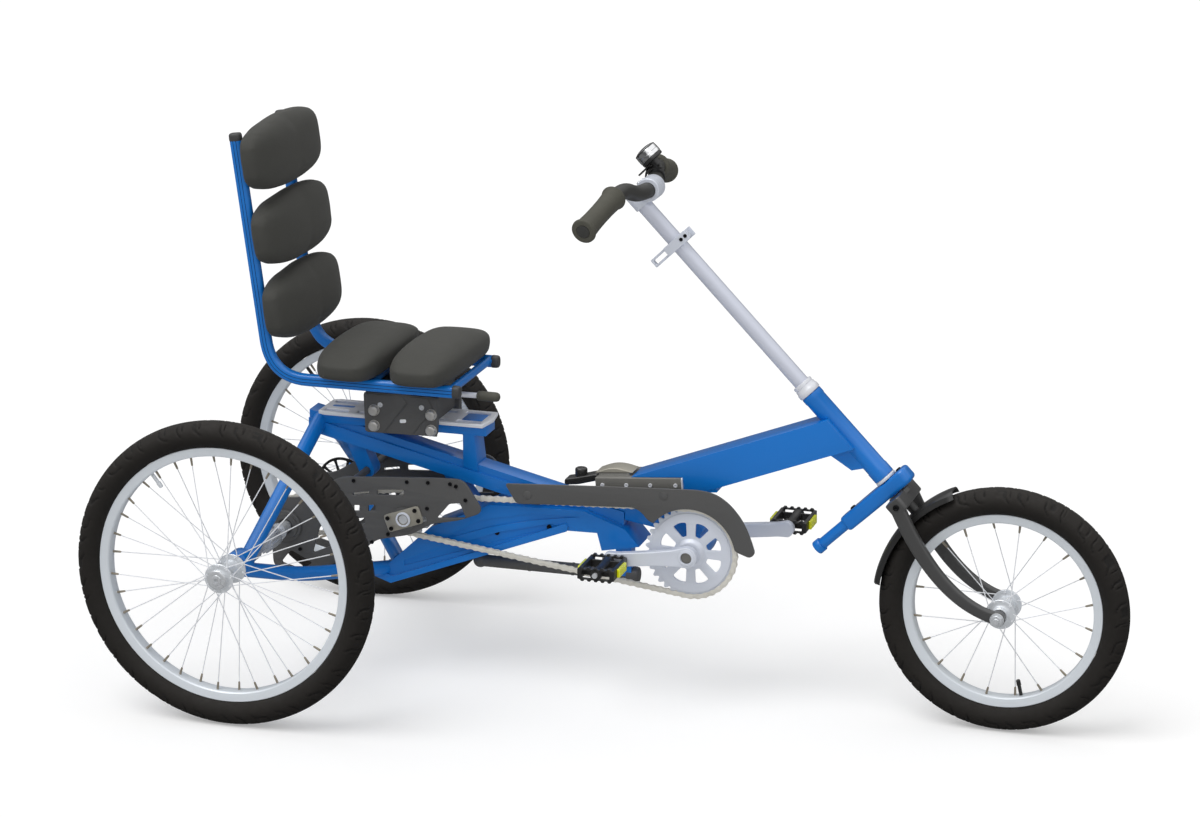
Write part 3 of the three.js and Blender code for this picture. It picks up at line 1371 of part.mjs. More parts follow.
function steeringArm() {
  const half = armWidth / 2;
  const tail = armTailShare * half;
  const shape = outline([[-armTail, -tail], [-armTail / 2, -half], [armNose, -half], [armNose, half],
    [-armTail / 2, half], [-armTail, tail]], tail);
  const body = flatPlate(shape, 0, armThickness);
  const middle = armThickness / 2;
  const stickRoot = at(-armTail + armTubeRadius, 0, middle);
  const stick = rod(at(-armEnd, 0, middle), stickRoot, armTubeRadius, ringSides);
  const [collarEnd, collarRoot] = [at(-armEnd - gap, 0, middle), at(-armEnd + armCollarLength, 0, middle)];
  const collar = rod(collarEnd, collarRoot, armCollarRadius, ringSides);
  const bore = rod(at(0, 0, -overrun), at(0, 0, armThickness + overrun), around(columnRadius));
  return lay(cut(join(body, stick, collar), bore), headAt(armStart), acrossWay, headWay);
}

const columnEnd = crownStart - gap;
add('steering_column', headRod(0, columnEnd, columnRadius), 'silver');
add('clamp_bracket', clampBracket(), 'silver');
add('steering_arm', steeringArm(), 'frameBlue');

// Stem, handlebar, grips and bell
const stemPlace = headAt(-stemRise, columnRadius + stemWall + barRadius);

function stem() {
  const collar = headRod(-stemCollarRise, stemCollarFall, stemCollarRadius);
  const neck = beam(headAt(0), stemPlace, stemCollarRadius, stemNeckWidth);
  const clamp = pin(stemPlace.x, stemPlace.z, -stemWidth / 2, stemWidth / 2, stemClampRadius, ringSides);
  const bores = [headRod(-gap, stemCollarFall + overrun, around(columnRadius)), barSolid(gap)];
  return cut(join(collar, neck, clamp), ...bores);
}

function gripPoint(share, side) {
  const inner = at(-gripInnerBack, side * gripInnerSide, gripInnerLift);
  const outer = at(-gripOuterBack, side * gripOuterSide, -gripOuterDrop);
  return inner.lerp(outer, share).add(stemPlace);
}

const stemEnd = (side) => stemPlace.clone().addScaledVector(alongY, side * stemWidth / 2);

function barSolid(grow) {
  const path = route([gripPoint(barEndShare, -1), gripPoint(barBendShare, -1), stemEnd(-1), stemEnd(1),
    gripPoint(barBendShare, 1), gripPoint(barEndShare, 1)], stemWidth / 4);
  return tube(path, 2 * (barRadius + grow), 2 * (barRadius + grow), 13);
}

function grip(side) {
  const [inner, outer] = [gripPoint(0, side), gripPoint(1, side)];
  const length = inner.distanceTo(outer);
  const flange = gripFlangeRadius - gripWaist;
  const bore = around(barRadius, ringSides);
  const end = length * barEndShare + gap;
  const profile = [[bore, 0], [gripFlangeRadius, 0], [gripFlangeRadius, flange], [gripRadius, 2 * flange],
    [gripWaist, length / 2], [gripRadius, length - 2 * flange], [gripFlangeRadius, length - flange],
    [gripRadius, length], [0, length], [0, end], [bore, end]];
  return stand(turned(profile, ringSides), inner, outer.clone().sub(inner));
}

// Bell: a dome on a round base, leaning back, with a foot that holds the handlebar
const barBend = gripPoint(barBendShare, 1);
const bellFoot = stemEnd(1).lerp(barBend, (bellSide - stemWidth / 2) / (barBend.y - stemWidth / 2));
const bellPlace = bellFoot.clone().add(at(-bellBack, 0, bellRise));
const bellWay = at(-Math.sin(bellLean), 0, Math.cos(bellLean));

const bellNeck = (grow, sides) => rod(bellPlace.clone().addScaledVector(bellWay, -bellNeckLength),
  bellPlace.clone().addScaledVector(bellWay, weld), grow, sides);

function bell() {
  const dome = turned([[0, 0], [bellRadius, 0], [bellRadius, bellBaseHeight], ...bellShares.map(([r, h]) => (
    [r * bellRadius, bellBaseHeight + h * (bellHeight - bellBaseHeight)])), [0, bellHeight]], ringSides);
  const foot = rod(bellFoot, bellPlace.clone().addScaledVector(bellWay, -bellNeckLength), bellFootRadius,
    ringSides);
  const whole = join(stand(dome, bellPlace, bellWay), bellNeck(bellFootRadius, ringSides), foot);
  return cut(whole, barSolid(gap));
}

const bellShares = [[0.92, 0.4], [0.7, 0.75], [0.35, 0.96]];

function bellLever() {
  const half = bellLeverWidth / 2;
  const shape = outline([[bellFootRadius, -half], [bellLeverLength, -half], [bellLeverLength, half],
    [bellFootRadius, half]], half / 2);
  const blade = flatPlate(shape, -bellLeverThickness - gap, -gap);
  const down = at(-Math.cos(bellLean), 0, -Math.sin(bellLean));
  return cut(lay(blade, bellPlace, down, bellWay), bellNeck(around(bellFootRadius, ringSides), ringSides));
}

add('handlebar_stem', stem(), 'silver');
add('handlebar', barSolid(0), 'carbonGrey');
add('right_grip', grip(-1), 'gripGrey');
add('left_grip', grip(1), 'gripGrey');
add('bell', bell(), 'steel');
add('bell_lever', bellLever(), 'plasticBlack');

// Fork: a crown across the column's foot and two blades that sweep forward to the axle
const bladeShares = [[0, 0.5], [0.18, 0.5], [0.35, 0.48], [0.52, 0.45], [0.7, 0.42], [0.86, 0.4], [1, 0.42]];

function bladeLine() {
  const top = headAt(crownStart + crownHeight / 2);
  const tip = at(wheelbase, 0, frontRadius);
  const pull = headAt(crownStart + bladePullShare * (axleAlong - crownStart), -bladeSag);
  const curve = new THREE.QuadraticBezierCurve3(top, pull, tip);
  return bladeShares.map(([share, half]) => {
    const spot = curve.getPoint(share);
    const way = curve.getTangent(share);
    return { spot, across: at(-way.z, 0, way.x).multiplyScalar(half * crownHeight) };
  });
}

function forkBlade() {
  const line = bladeLine();
  const points = [...line.map(({ spot, across }) => [spot.x + across.x, spot.z + across.z]),
    ...line.reverse().map(({ spot, across }) => [spot.x - across.x, spot.z - across.z])];
  const inner = bladeSide - bladeThickness / 2;
  return sidePlate(outline(points), -inner, -inner - bladeThickness);
}

function fork() {
  const outer = bladeSide + bladeThickness / 2;
  const crownDepth = crownHeight * crownWidthShare;
  const crown = beam(headAt(crownStart), headAt(crownStart + crownHeight), crownDepth, 2 * outer);
  const inner = bladeSide - bladeThickness / 2;
  const eye = pin(wheelbase, frontRadius, -outer, -inner, crownHeight / 2, ringSides);
  const [reach, clear] = [outer + overrun, around(frontAxleRadius, smallSides)];
  const bore = pin(wheelbase, frontRadius, -reach, reach, clear, smallSides);
  const side = join(forkBlade(), eye);
  return cut(join(crown, side, mirrored(side)), bore);
}

function frontAxle() {
  const face = bladeSide + bladeThickness / 2 + gap;
  const tip = face + frontNutLength + frontAxleTail;
  const bar = pin(wheelbase, frontRadius, -tip, tip, frontAxleRadius, smallSides);
  const nuts = [1, -1].map((side) => (
    pin(wheelbase, frontRadius, side * face, side * (face + frontNutLength), frontNutRadius, 6)));
  return join(bar, ...nuts);
}

function mudguard() {
  const inner = frontRadius + mudguardGap;
  const half = mudguardWidth / 2;
  const [edge, outer] = [inner - mudguardLip, inner + mudguardThickness];
  const lipEnd = [edge + mudguardThickness, half + mudguardThickness / 2];
  const side = [[inner, half - mudguardLip], [edge, half], lipEnd, [outer, half - mudguardLip]];
  const ring = turned([...side, ...side.reverse().map(([r, y]) => [r, -y])], 48);
  const reach = 2 * frontRadius;
  const corner = (turn) => [reach * Math.cos(turn), reach * Math.sin(turn)];
  const wedge = sidePlate(outline([[0, 0], corner(mudguardStart), corner((mudguardStart + mudguardEnd) / 2),
    corner(mudguardEnd)]), -mudguardWidth, mudguardWidth);
  const shell = keepInside(ring, wedge).translate(wheelbase, 0, frontRadius);
  const foot = axleAlong - inner - mudguardThickness / 2;
  return join(shell, headRod(crownStart + crownHeight + gap, foot, mudguardPostRadius, smallSides));
}

add('fork', fork(), 'carbonGrey');
add('front_axle', frontAxle(), 'steel');
add('front_mudguard', mudguard(), 'plasticBlack');

export default model;
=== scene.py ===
# %% [markdown]
# # An adaptive tricycle, dressed for a studio picture
#
# The solids of the tricycle come ready packed, in metres, with +X forward and +Z up. This lesson keeps
# their sizes and joints and gives each piece the surface that the real one has. Round pieces are turned
# again with fine steps, plates get broken edges, tubes are swept, cushions are inflated as cloth, and the
# chains are laid link by link.

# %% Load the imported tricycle
import json
import math

import bmesh
import bpy
import numpy as np
from mathutils import Matrix, Vector
from mathutils.bvhtree import BVHTree

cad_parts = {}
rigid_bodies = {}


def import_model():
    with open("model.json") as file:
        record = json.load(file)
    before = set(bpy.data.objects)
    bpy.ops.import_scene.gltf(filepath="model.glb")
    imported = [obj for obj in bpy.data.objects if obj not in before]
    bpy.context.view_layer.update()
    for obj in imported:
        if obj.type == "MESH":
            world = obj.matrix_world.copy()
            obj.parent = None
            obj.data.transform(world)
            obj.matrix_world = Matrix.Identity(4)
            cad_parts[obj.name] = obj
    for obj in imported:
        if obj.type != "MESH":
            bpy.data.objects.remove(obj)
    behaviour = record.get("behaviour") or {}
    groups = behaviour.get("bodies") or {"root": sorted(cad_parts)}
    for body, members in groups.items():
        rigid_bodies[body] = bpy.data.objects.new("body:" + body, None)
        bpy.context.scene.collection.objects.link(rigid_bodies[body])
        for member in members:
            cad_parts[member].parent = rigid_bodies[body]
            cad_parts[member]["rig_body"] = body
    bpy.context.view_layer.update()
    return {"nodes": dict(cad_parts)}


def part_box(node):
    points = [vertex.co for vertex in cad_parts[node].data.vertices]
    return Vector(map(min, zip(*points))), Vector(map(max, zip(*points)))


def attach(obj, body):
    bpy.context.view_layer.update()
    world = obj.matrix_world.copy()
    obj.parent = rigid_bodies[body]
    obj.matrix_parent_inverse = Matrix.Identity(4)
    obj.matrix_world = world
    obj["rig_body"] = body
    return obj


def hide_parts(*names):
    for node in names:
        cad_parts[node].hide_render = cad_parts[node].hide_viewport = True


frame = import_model()

# %% [markdown]
# ## A workshop ruler
#
# Frame builders measure from the rear axle. The point `at(x, y, z)` does the same: millimetres forward of
# the rear axle, to the rider's left, and up from the ground. The axle's place is read from the rear tyre,
# so every piece below stays with the solids.

# %% Points in millimetres from the rear axle line
MM = 0.001
FORWARD, LEFT, UP = Vector((1, 0, 0)), Vector((0, 1, 0)), Vector((0, 0, 1))
SIDES = (("right", -1), ("left", 1))


def middle(node):
    low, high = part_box(node)
    return (low + high) / 2


def size_of(node):
    low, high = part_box(node)
    return (high - low) / MM


axle_x, axle_z = middle("right_rear_tyre").x, middle("right_rear_tyre").z


def at(x, y, z):
    return Vector((axle_x + x * MM, y * MM, z * MM))


print("rear axle at x =", round(axle_x, 4))

# %% [markdown]
# ## Where the photographer stood
#
# The picture was taken from the rider's right with a long lens, a little above the handlebar. The camera's
# place, turn and tilt were found from the wheels, whose real sizes are known. A long lens keeps the three
# wheels almost free of perspective, and that is why the view looks like a catalogue picture.

# %% The camera
CAMERA_PLACE = Vector((1.57657, -5.32376, 2.06337))
CAMERA_YAW, CAMERA_PITCH = -0.2963, 0.2784
CAMERA_LENS, SENSOR_WIDTH = 108.31, 36

camera_data = bpy.data.cameras.new("camera")
camera_data.lens = CAMERA_LENS
camera_data.sensor_width = SENSOR_WIDTH
camera = bpy.data.objects.new("camera", camera_data)
level = Vector((math.sin(CAMERA_YAW), math.cos(CAMERA_YAW), 0))
look = level * math.cos(CAMERA_PITCH) - UP * math.sin(CAMERA_PITCH)
camera.location = CAMERA_PLACE
camera.rotation_mode = "QUATERNION"
camera.rotation_quaternion = look.to_track_quat("-Z", "Y")
bpy.context.scene.collection.objects.link(camera)
bpy.context.scene.camera = camera
print("camera looks along", tuple(round(c, 3) for c in look))

# %% [markdown]
# ## A white studio
#
# The product stands on white paper that fades into the background, with one soft shadow. White paper can
# be had with more light, but that would bleach the paint. Here the paper itself glows a little, and only
# towards the camera, so the tricycle is lit plainly and the shadow stays. Gloss needs something dark to
# mirror, so reflections see a dim floor and a sky that grows bright only high up, like a lamp overhead.

# %% Helpers that wire shaders
scene = bpy.context.scene
scene.view_settings.view_transform = "Standard"


def add(tree, kind, *feeds, **settings):
    """A new shader node. Each feed names an input and gives it a number, a colour or a socket."""
    made = tree.nodes.new("ShaderNode" + kind)
    for name, value in settings.items():
        setattr(made, name, value)
    for name, value in feeds:
        if isinstance(value, bpy.types.NodeSocket):
            tree.links.new(value, made.inputs[name])
        else:
            made.inputs[name].default_value = value
    return made


def ray(tree, kind):
    return add(tree, "LightPath").outputs[f"Is {kind} Ray"]


def seen_directly(tree):
    """One where a ray comes from the camera or through something clear, else zero."""
    either = add(tree, "Math", (0, ray(tree, "Camera")), (1, ray(tree, "Transmission")), operation="MAXIMUM")
    return either.outputs[0]


def between(tree, factor, low, high):
    """A number that goes from low to high with the factor."""
    return add(tree, "MapRange", ("Value", factor), ("To Min", low), ("To Max", high)).outputs["Result"]


# %% Floor, world and lamps
FLOOR_ALBEDO, FLOOR_GLOW, FLOOR_HALF, FLOOR_IN_PAINT = 0.78, 0.28, 30.0, 0.16
WORLD_LIGHT, WORLD_SEEN = 0.62, 1.0
CARD_LOW, CARD_HIGH, CARD_DARK, CARD_BRIGHT = 0.34, 0.7, 0.12, 1.2

floor_paint = bpy.data.materials.new("paper_floor")
floor_paint.use_nodes = True
tree = floor_paint.node_tree
tree.nodes.clear()
paper = add(tree, "BsdfDiffuse", ("Color", (FLOOR_ALBEDO, FLOOR_ALBEDO, FLOOR_ALBEDO, 1)))
strength = add(tree, "Math", (0, seen_directly(tree)), (1, FLOOR_GLOW), operation="MULTIPLY")
glow = add(tree, "Emission", ("Strength", strength.outputs[0]))
both = add(tree, "AddShader", (0, paper.outputs[0]), (1, glow.outputs[0]))
mirrored_floor = add(tree, "Emission", ("Strength", FLOOR_IN_PAINT))
choice = add(tree, "MixShader", (0, ray(tree, "Glossy")), (1, both.outputs[0]), (2, mirrored_floor.outputs[0]))
add(tree, "OutputMaterial", ("Surface", choice.outputs[0]))
floor_mesh = bpy.data.meshes.new("floor")
corners = [(-1, -1), (1, -1), (1, 1), (-1, 1)]
floor_mesh.from_pydata([(FLOOR_HALF * x, FLOOR_HALF * y, 0) for x, y in corners], [], [(0, 1, 2, 3)])
floor_mesh.materials.append(floor_paint)
floor = bpy.data.objects.new("floor", floor_mesh)
scene.collection.objects.link(floor)

world = bpy.data.worlds.new("studio")
scene.world = world
world.use_nodes = True
tree = world.node_tree
background = tree.nodes["Background"]
background.inputs["Color"].default_value = (1, 1, 1, 1)
height = add(tree, "SeparateXYZ", ("Vector", add(tree, "TexCoord").outputs["Generated"])).outputs["Z"]
card = add(tree, "MapRange", ("Value", height), ("From Min", CARD_LOW), ("From Max", CARD_HIGH),
           ("To Min", CARD_DARK), ("To Max", CARD_BRIGHT))
lit_or_glossy = between(tree, ray(tree, "Glossy"), WORLD_LIGHT, card.outputs["Result"])
tree.links.new(between(tree, seen_directly(tree), lit_or_glossy, WORLD_SEEN), background.inputs["Strength"])


def lamp(name, towards, strength, spread):
    data = bpy.data.lights.new(name, "SUN")
    data.energy = strength
    data.angle = math.radians(spread)
    made_lamp = bpy.data.objects.new(name, data)
    made_lamp.rotation_mode = "QUATERNION"
    made_lamp.rotation_quaternion = Vector(towards).to_track_quat("-Z", "Y")
    scene.collection.objects.link(made_lamp)


lamp("key_lamp", (0.35, 0.45, -1.0), 1.25, 40)
lamp("side_lamp", (-0.5, 0.9, -0.35), 0.35, 60)
print("floor, world and two lamps set")

# %% [markdown]
# ## Finishes
#
# Real paint, rubber and alloy are never one flat colour. Each finish here is one shader with three gentle
# layers over the piece: a cloudy change of tone, a change of gloss and a fine bump. The fixed numbers
# stay on the shader itself, so that another program can read them.

# %% A finish with tone, gloss and grain
COAT_ROUGHNESS, BUMP_DISTANCE = 0.06, 0.0006
MIX_A, MIX_B, MIX_OUT = 6, 7, 2
ALONG_X = {"stretch": (0.2, 4, 4)}


def linear(colour):
    """Linear colour of one that is read from a picture in 0 to 255."""
    return [c / 255 / 12.92 if c <= 10 else ((c / 255 + 0.055) / 1.055) ** 2.4 for c in colour]


def finish(name, colour, roughness, metallic, grain, bump, tone, coat=0.0, sheen=0.0, tone_scale=9,
           gloss_change=0.08, stretch=(1, 1, 1)):
    material = bpy.data.materials.new(name)
    material.use_nodes = True
    tree = material.node_tree
    shader = tree.nodes["Principled BSDF"]
    shader.inputs["Metallic"].default_value = metallic
    shader.inputs["Coat Weight"].default_value = coat
    shader.inputs["Coat Roughness"].default_value = COAT_ROUGHNESS
    shader.inputs["Sheen Weight"].default_value = sheen
    place = add(tree, "Mapping", ("Vector", add(tree, "TexCoord").outputs["Object"]), ("Scale", stretch))

    def noise(scale, detail):
        return add(tree, "TexNoise", ("Vector", place.outputs["Vector"]), ("Scale", scale),
                   ("Detail", detail)).outputs["Fac"]

    darker = (*[c * (1 - tone) for c in linear(colour)], 1)
    lighter = (*[min(1, c * (1 + tone)) for c in linear(colour)], 1)
    cloud = noise(tone_scale, 3)
    shades = add(tree, "Mix", ("Factor", cloud), (MIX_A, darker), (MIX_B, lighter), data_type="RGBA")
    tree.links.new(shades.outputs[MIX_OUT], shader.inputs["Base Color"])
    gloss = between(tree, noise(tone_scale * 3, 2), max(0.02, roughness - gloss_change),
                    min(1, roughness + gloss_change))
    tree.links.new(gloss, shader.inputs["Roughness"])
    relief = add(tree, "Bump", ("Strength", bump), ("Distance", BUMP_DISTANCE), ("Height", noise(grain, 4)))
    tree.links.new(relief.outputs["Normal"], shader.inputs["Normal"])
    return material


# Each row: name, colour, roughness, metal, grain, bump, tone, and what else differs.
FINISHES = {
    "frame_blue": finish("blue_paint", (4, 113, 200), 0.32, 0, 500, 0.03, 0.04, coat=0.35, gloss_change=0.03),
    "dark_paint": finish("dark_powder_coat", (82, 82, 82), 0.5, 0, 2200, 0.12, 0.08),
    "fork_paint": finish("fork_gloss", (68, 68, 68), 0.32, 0, 700, 0.04, 0.06, coat=0.4),
    "tyre": finish("tyre_rubber", (25, 21, 17), 0.8, 0, 900, 0.35, 0.2, tone_scale=26),
    "rim_alloy": finish("rim_alloy", (216, 222, 228), 0.38, 0.15, 1200, 0.04, 0.04),
    "hub_alloy": finish("hub_alloy", (222, 226, 231), 0.26, 0.3, 900, 0.05, 0.05),
    "axle_steel": finish("axle_steel", (214, 217, 221), 0.26, 0.45, 900, 0.06, 0.08),
    "crank_alloy": finish("crank_alloy", (214, 219, 230), 0.36, 0.15, 1500, 0.05, 0.05),
    "column_chrome": finish("column_satin", (208, 212, 225), 0.36, 0.2, 1300, 0.03, 0.03, stretch=(1, 1, 4)),
    "bell_chrome": finish("bell_chrome", (225, 226, 228), 0.08, 1.0, 300, 0.01, 0.03, gloss_change=0.03),
    "chain_steel": finish("chain_steel", (226, 223, 214), 0.36, 0.25, 900, 0.08, 0.1, tone_scale=60),
    "rail_alloy": finish("rail_alloy", (222, 224, 230), 0.36, 0.12, 1200, 0.06, 0.06, **ALONG_X),
    "housing_alloy": finish("housing_alloy", (172, 168, 156), 0.4, 0.45, 1100, 0.12, 0.1, **ALONG_X),
    "bar_paint": finish("bar_powder_coat", (62, 62, 60), 0.48, 0.1, 1600, 0.1, 0.06),
    "disc_black": finish("disc_black", (48, 48, 48), 0.4, 0.6, 900, 0.1, 0.1),
    "pad_vinyl": finish("pad_covering", (60, 60, 56), 0.74, 0, 1500, 0.3, 0.05, sheen=0.05, tone_scale=5),
    "grip_rubber": finish("grip_rubber", (76, 75, 66), 0.66, 0, 1300, 0.25, 0.08, tone_scale=30),
    "black_plastic": finish("black_plastic", (38, 38, 38), 0.36, 0, 900, 0.1, 0.1, coat=0.2),
    "reflector": finish("reflector_yellow", (232, 236, 20), 0.2, 0, 240, 0.2, 0.15, coat=0.8, tone_scale=200),
    "cap_plastic": finish("cap_plastic", (66, 66, 66), 0.5, 0, 1200, 0.15, 0.08),
    # Painted shade: a darker rubber for the faces at the bottom of the tread cuts.
    "groove_painted_shade": finish("tread_groove_painted_shade", (20, 18, 16), 0.85, 0, 900, 0.3, 0.2, tone_scale=26),
    "nipple_grey": finish("nipple_plating", (150, 142, 128), 0.4, 0.4, 900, 0.05, 0.08),
    "spoke_white": finish("spoke_plating", (236, 238, 242), 0.4, 0.2, 900, 0.02, 0.03),
    "bolt_zinc": finish("zinc_plated_bolt", (196, 194, 190), 0.34, 0.5, 900, 0.08, 0.08),
    "bronze_grey": finish("bronze_grey_alloy", (124, 123, 119), 0.42, 0.3, 1100, 0.12, 0.1),
    "screw_black": finish("screw_black", (34, 34, 36), 0.35, 0.7, 900, 0.08, 0.1),
}
print("finishes:", len(FINISHES))

# %% [markdown]
# ## A small tool bench
#
# Four tools make almost everything on a cycle. `revolve` is the lathe, `sweep` draws a section along a
# path as a tube bender does, `plate` cuts sheet metal from outlines, and `soften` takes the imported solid
# and breaks its sharp edges, as deburring and paint do. Each of the first three gives a part: a list of
# points in metres and a list of faces. `make` joins parts into one piece.

# %% Joining parts into a piece
DOUBLE_POINT = 2e-6


def settle(mesh, sharp):
    """Merges double points, faces outwards and shades smoothly up to an angle."""
    work = bmesh.new()
    work.from_mesh(mesh)
    bmesh.ops.remove_doubles(work, verts=work.verts, dist=DOUBLE_POINT)
    bmesh.ops.dissolve_degenerate(work, dist=DOUBLE_POINT / 2, edges=work.edges)
    bmesh.ops.recalc_face_normals(work, faces=work.faces)
    work.to_mesh(mesh)
    work.free()
    mesh.polygons.foreach_set("use_smooth", [True] * len(mesh.polygons))
    mesh.set_sharp_from_angle(angle=math.radians(sharp))


def show(mesh, name, body, slot, replaces=(), look=None):
    mesh.materials.clear()
    mesh.materials.append(FINISHES[look or slot])
    piece = bpy.data.objects.new(name, mesh)
    scene.collection.objects.link(piece)
    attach(piece, body)
    if replaces:
        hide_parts(*replaces)
    print(f"{name}: {len(mesh.polygons)} faces on {body}")
    return piece


def make(name, parts, body, slot, replaces=(), look=None, sharp=38):
    points, faces = [], []
    for part_points, part_faces in parts:
        start = len(points)
        points += [tuple(p) for p in part_points]
        faces += [tuple(start + i for i in face) for face in part_faces]
    mesh = bpy.data.meshes.new(name)
    mesh.from_pydata(points, [], faces)
    settle(mesh, sharp)
    return show(mesh, name, body, slot, replaces, look)


# %% The faces between rings of points
def skin(rings, rows, spans=None, steps=None):
    """Faces from ring to ring; fewer spans leave the section open, fewer steps leave the path open."""
    faces = []
    for i in range(rings if steps is None else steps):
        j = (i + 1) % rings
        for k in range(rows if spans is None else spans):
            n = (k + 1) % rows
            faces.append((i * rows + k, i * rows + n, j * rows + n, j * rows + k))
    return faces


def tube_faces(rings, rows):
    """The faces of a tube along an open path, with both ends shut."""
    ends = [tuple(reversed(range(rows))), tuple((rings - 1) * rows + k for k in range(rows))]
    return skin(rings, rows, steps=rings - 1) + ends


# %% The lathe
def polar(radius, turn):
    return radius * math.cos(turn), radius * math.sin(turn)


def revolve(profile, centre, axis, segments=64, loop=False):
    """Turns (along, radius) points, in millimetres, round an axis through a centre in metres."""
    axis = axis.normalized()
    side = UP if abs(axis.z) < 0.9 else FORWARD
    side = (side - axis * side.dot(axis)).normalized()
    other = axis.cross(side)
    angles = 2 * math.pi * np.arange(segments) / segments
    points = [centre + axis * (along * MM) + (side * math.cos(a) + other * math.sin(a)) * (radius * MM)
              for a in angles for along, radius in profile]
    return points, skin(segments, len(profile), len(profile) - (0 if loop else 1))


def mirrored(profile):
    """A profile and its mirror image about zero."""
    return profile + [(-along, radius) for along, radius in reversed(profile)]


def spindle_bar(half, radius, end, centre, segments):
    """A round bar across the tricycle with broken edges at both ends."""
    return revolve(mirrored([(half, 0), (half, end), (half - 1, radius)]), centre, LEFT, segments)


def disc_rod(centre, axis, length, radius, soft=0.6, segments=40):
    """A solid rod with softened ends; it starts at the centre."""
    end = [(0, 0), (0, radius - soft), (soft * 0.3, radius - soft * 0.3), (soft, radius)]
    return revolve(end + [(length - along, r) for along, r in reversed(end)], centre, axis, segments)


# %% The tube bender
def round_corner(before, spot, after, radius, shares):
    """The points of a rounded corner; a radius too large for the sides is cut down."""
    reach = min(radius, (before - spot).length * 0.48, (after - spot).length * 0.48)
    start = spot + (before - spot).normalized() * reach
    end = spot + (after - spot).normalized() * reach
    return [start * (1 - t) ** 2 + spot * (2 * t * (1 - t)) + end * t ** 2 for t in shares]


def rounded(points, radius, steps=8, closed=False):
    """The points of a path whose corners are rounded; the radius is in the points' own unit."""
    shares = [k / steps for k in range(steps + 1)]
    line = []
    for i, spot in enumerate(points):
        if closed or 0 < i < len(points) - 1:
            line += round_corner(points[i - 1], spot, points[(i + 1) % len(points)], radius, shares)
        else:
            line.append(spot)
    return line


def sweep(path, width, height=None, across=LEFT, sides=24, square=1.0):
    """Draws an oval section along a path. Width lies along `across`, both in millimetres; `square` under
    one makes the oval boxier."""
    height = width if height is None else height
    widths = [width] * len(path) if isinstance(width, (int, float)) else width
    heights = [height] * len(path) if isinstance(height, (int, float)) else height
    points = []
    for i, spot in enumerate(path):
        way = (path[min(i + 1, len(path) - 1)] - path[max(i - 1, 0)]).normalized()
        u = (across - way * across.dot(way)).normalized()
        v = way.cross(u)
        for k in range(sides):
            c, s = polar(1, 2 * math.pi * (k + 0.5) / sides)
            x = math.copysign(abs(c) ** square, c) * widths[i] / 2 * MM
            y = math.copysign(abs(s) ** square, s) * heights[i] / 2 * MM
            points.append(spot + u * x + v * y)
    return points, tube_faces(len(path), sides)


# %% The sheet metal cutter
def plate(outlines, thickness, origin, edge=0.5, along=FORWARD, up=UP, rounds=2):
    """A plate from one outer outline and any windows, in millimetres. It is centred on the origin and
    its edges are rounded by `edge`."""
    curve = bpy.data.curves.new("cut", "CURVE")
    curve.dimensions = "2D"
    curve.fill_mode = "BOTH"
    curve.extrude = (thickness / 2 - edge) * MM
    curve.bevel_depth = edge * MM
    curve.bevel_resolution = rounds
    curve.offset = -edge * MM
    for outline in outlines:
        spline = curve.splines.new("POLY")
        spline.points.add(len(outline) - 1)
        spline.points.foreach_set("co", [c for x, y in outline for c in (x * MM, y * MM, 0, 1)])
        spline.use_cyclic_u = True
    holder = bpy.data.objects.new("cut", curve)
    mesh = bpy.data.meshes.new_from_object(holder)
    out = along.normalized().cross(up.normalized())
    place = Matrix((along.normalized(), up.normalized(), out)).transposed().to_4x4()
    place.translation = origin
    mesh.transform(place)
    points = [v.co.copy() for v in mesh.vertices]
    faces = [tuple(p.vertices) for p in mesh.polygons]
    bpy.data.objects.remove(holder)
    bpy.data.curves.remove(curve)
    bpy.data.meshes.remove(mesh)
    return points, faces


def flat_rounded(points, radius, steps=6):
    return [(p.x, p.y) for p in rounded([Vector(p) for p in points], radius, steps, closed=True)]


def oblong(x0, x1, y0, y1, radius, steps=6):
    return flat_rounded([(x0, y0), (x1, y0), (x1, y1), (x0, y1)], radius, steps)


def panel(half_x, half_y, radius):
    return oblong(-half_x, half_x, -half_y, half_y, radius)


def circle(radius, count=28, x=0, y=0):
    turns = [2 * math.pi * i / count for i in range(count)]
    return [(x + radius * math.cos(turn), y + radius * math.sin(turn)) for turn in turns]


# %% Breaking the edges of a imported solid
FLAT_ANGLE, CREASE_ANGLE = math.radians(0.6), math.radians(50)


def soften(node, edge, slot, segments=2, look=None):
    """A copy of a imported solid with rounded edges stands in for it."""
    source = frame["nodes"][node]
    mesh = source.data.copy()
    mesh.transform(source.matrix_world)
    mesh.name = node + "_skin"
    work = bmesh.new()
    work.from_mesh(mesh)
    bmesh.ops.remove_doubles(work, verts=work.verts, dist=DOUBLE_POINT)
    bmesh.ops.dissolve_limit(work, angle_limit=FLAT_ANGLE, verts=work.verts, edges=work.edges)
    turned = [e for e in work.edges if len(e.link_faces) == 2 and e.calc_face_angle(0) > CREASE_ANGLE]
    bmesh.ops.bevel(work, geom=turned, offset=edge * MM, offset_type="OFFSET", segments=segments,
                    profile=0.5, affect="EDGES", clamp_overlap=True)
    work.to_mesh(mesh)
    work.free()
    settle(mesh, math.degrees(CREASE_ANGLE))
    return show(mesh, node + "_skin", source["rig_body"], slot, [node], look)


# %% [markdown]
# ## Bolts
#
# Bolts tell the eye how big a machine is. A socket bolt is a turned head with a rounded shoulder, and its
# socket is a real recess, so that light falls into it. One function makes them all.

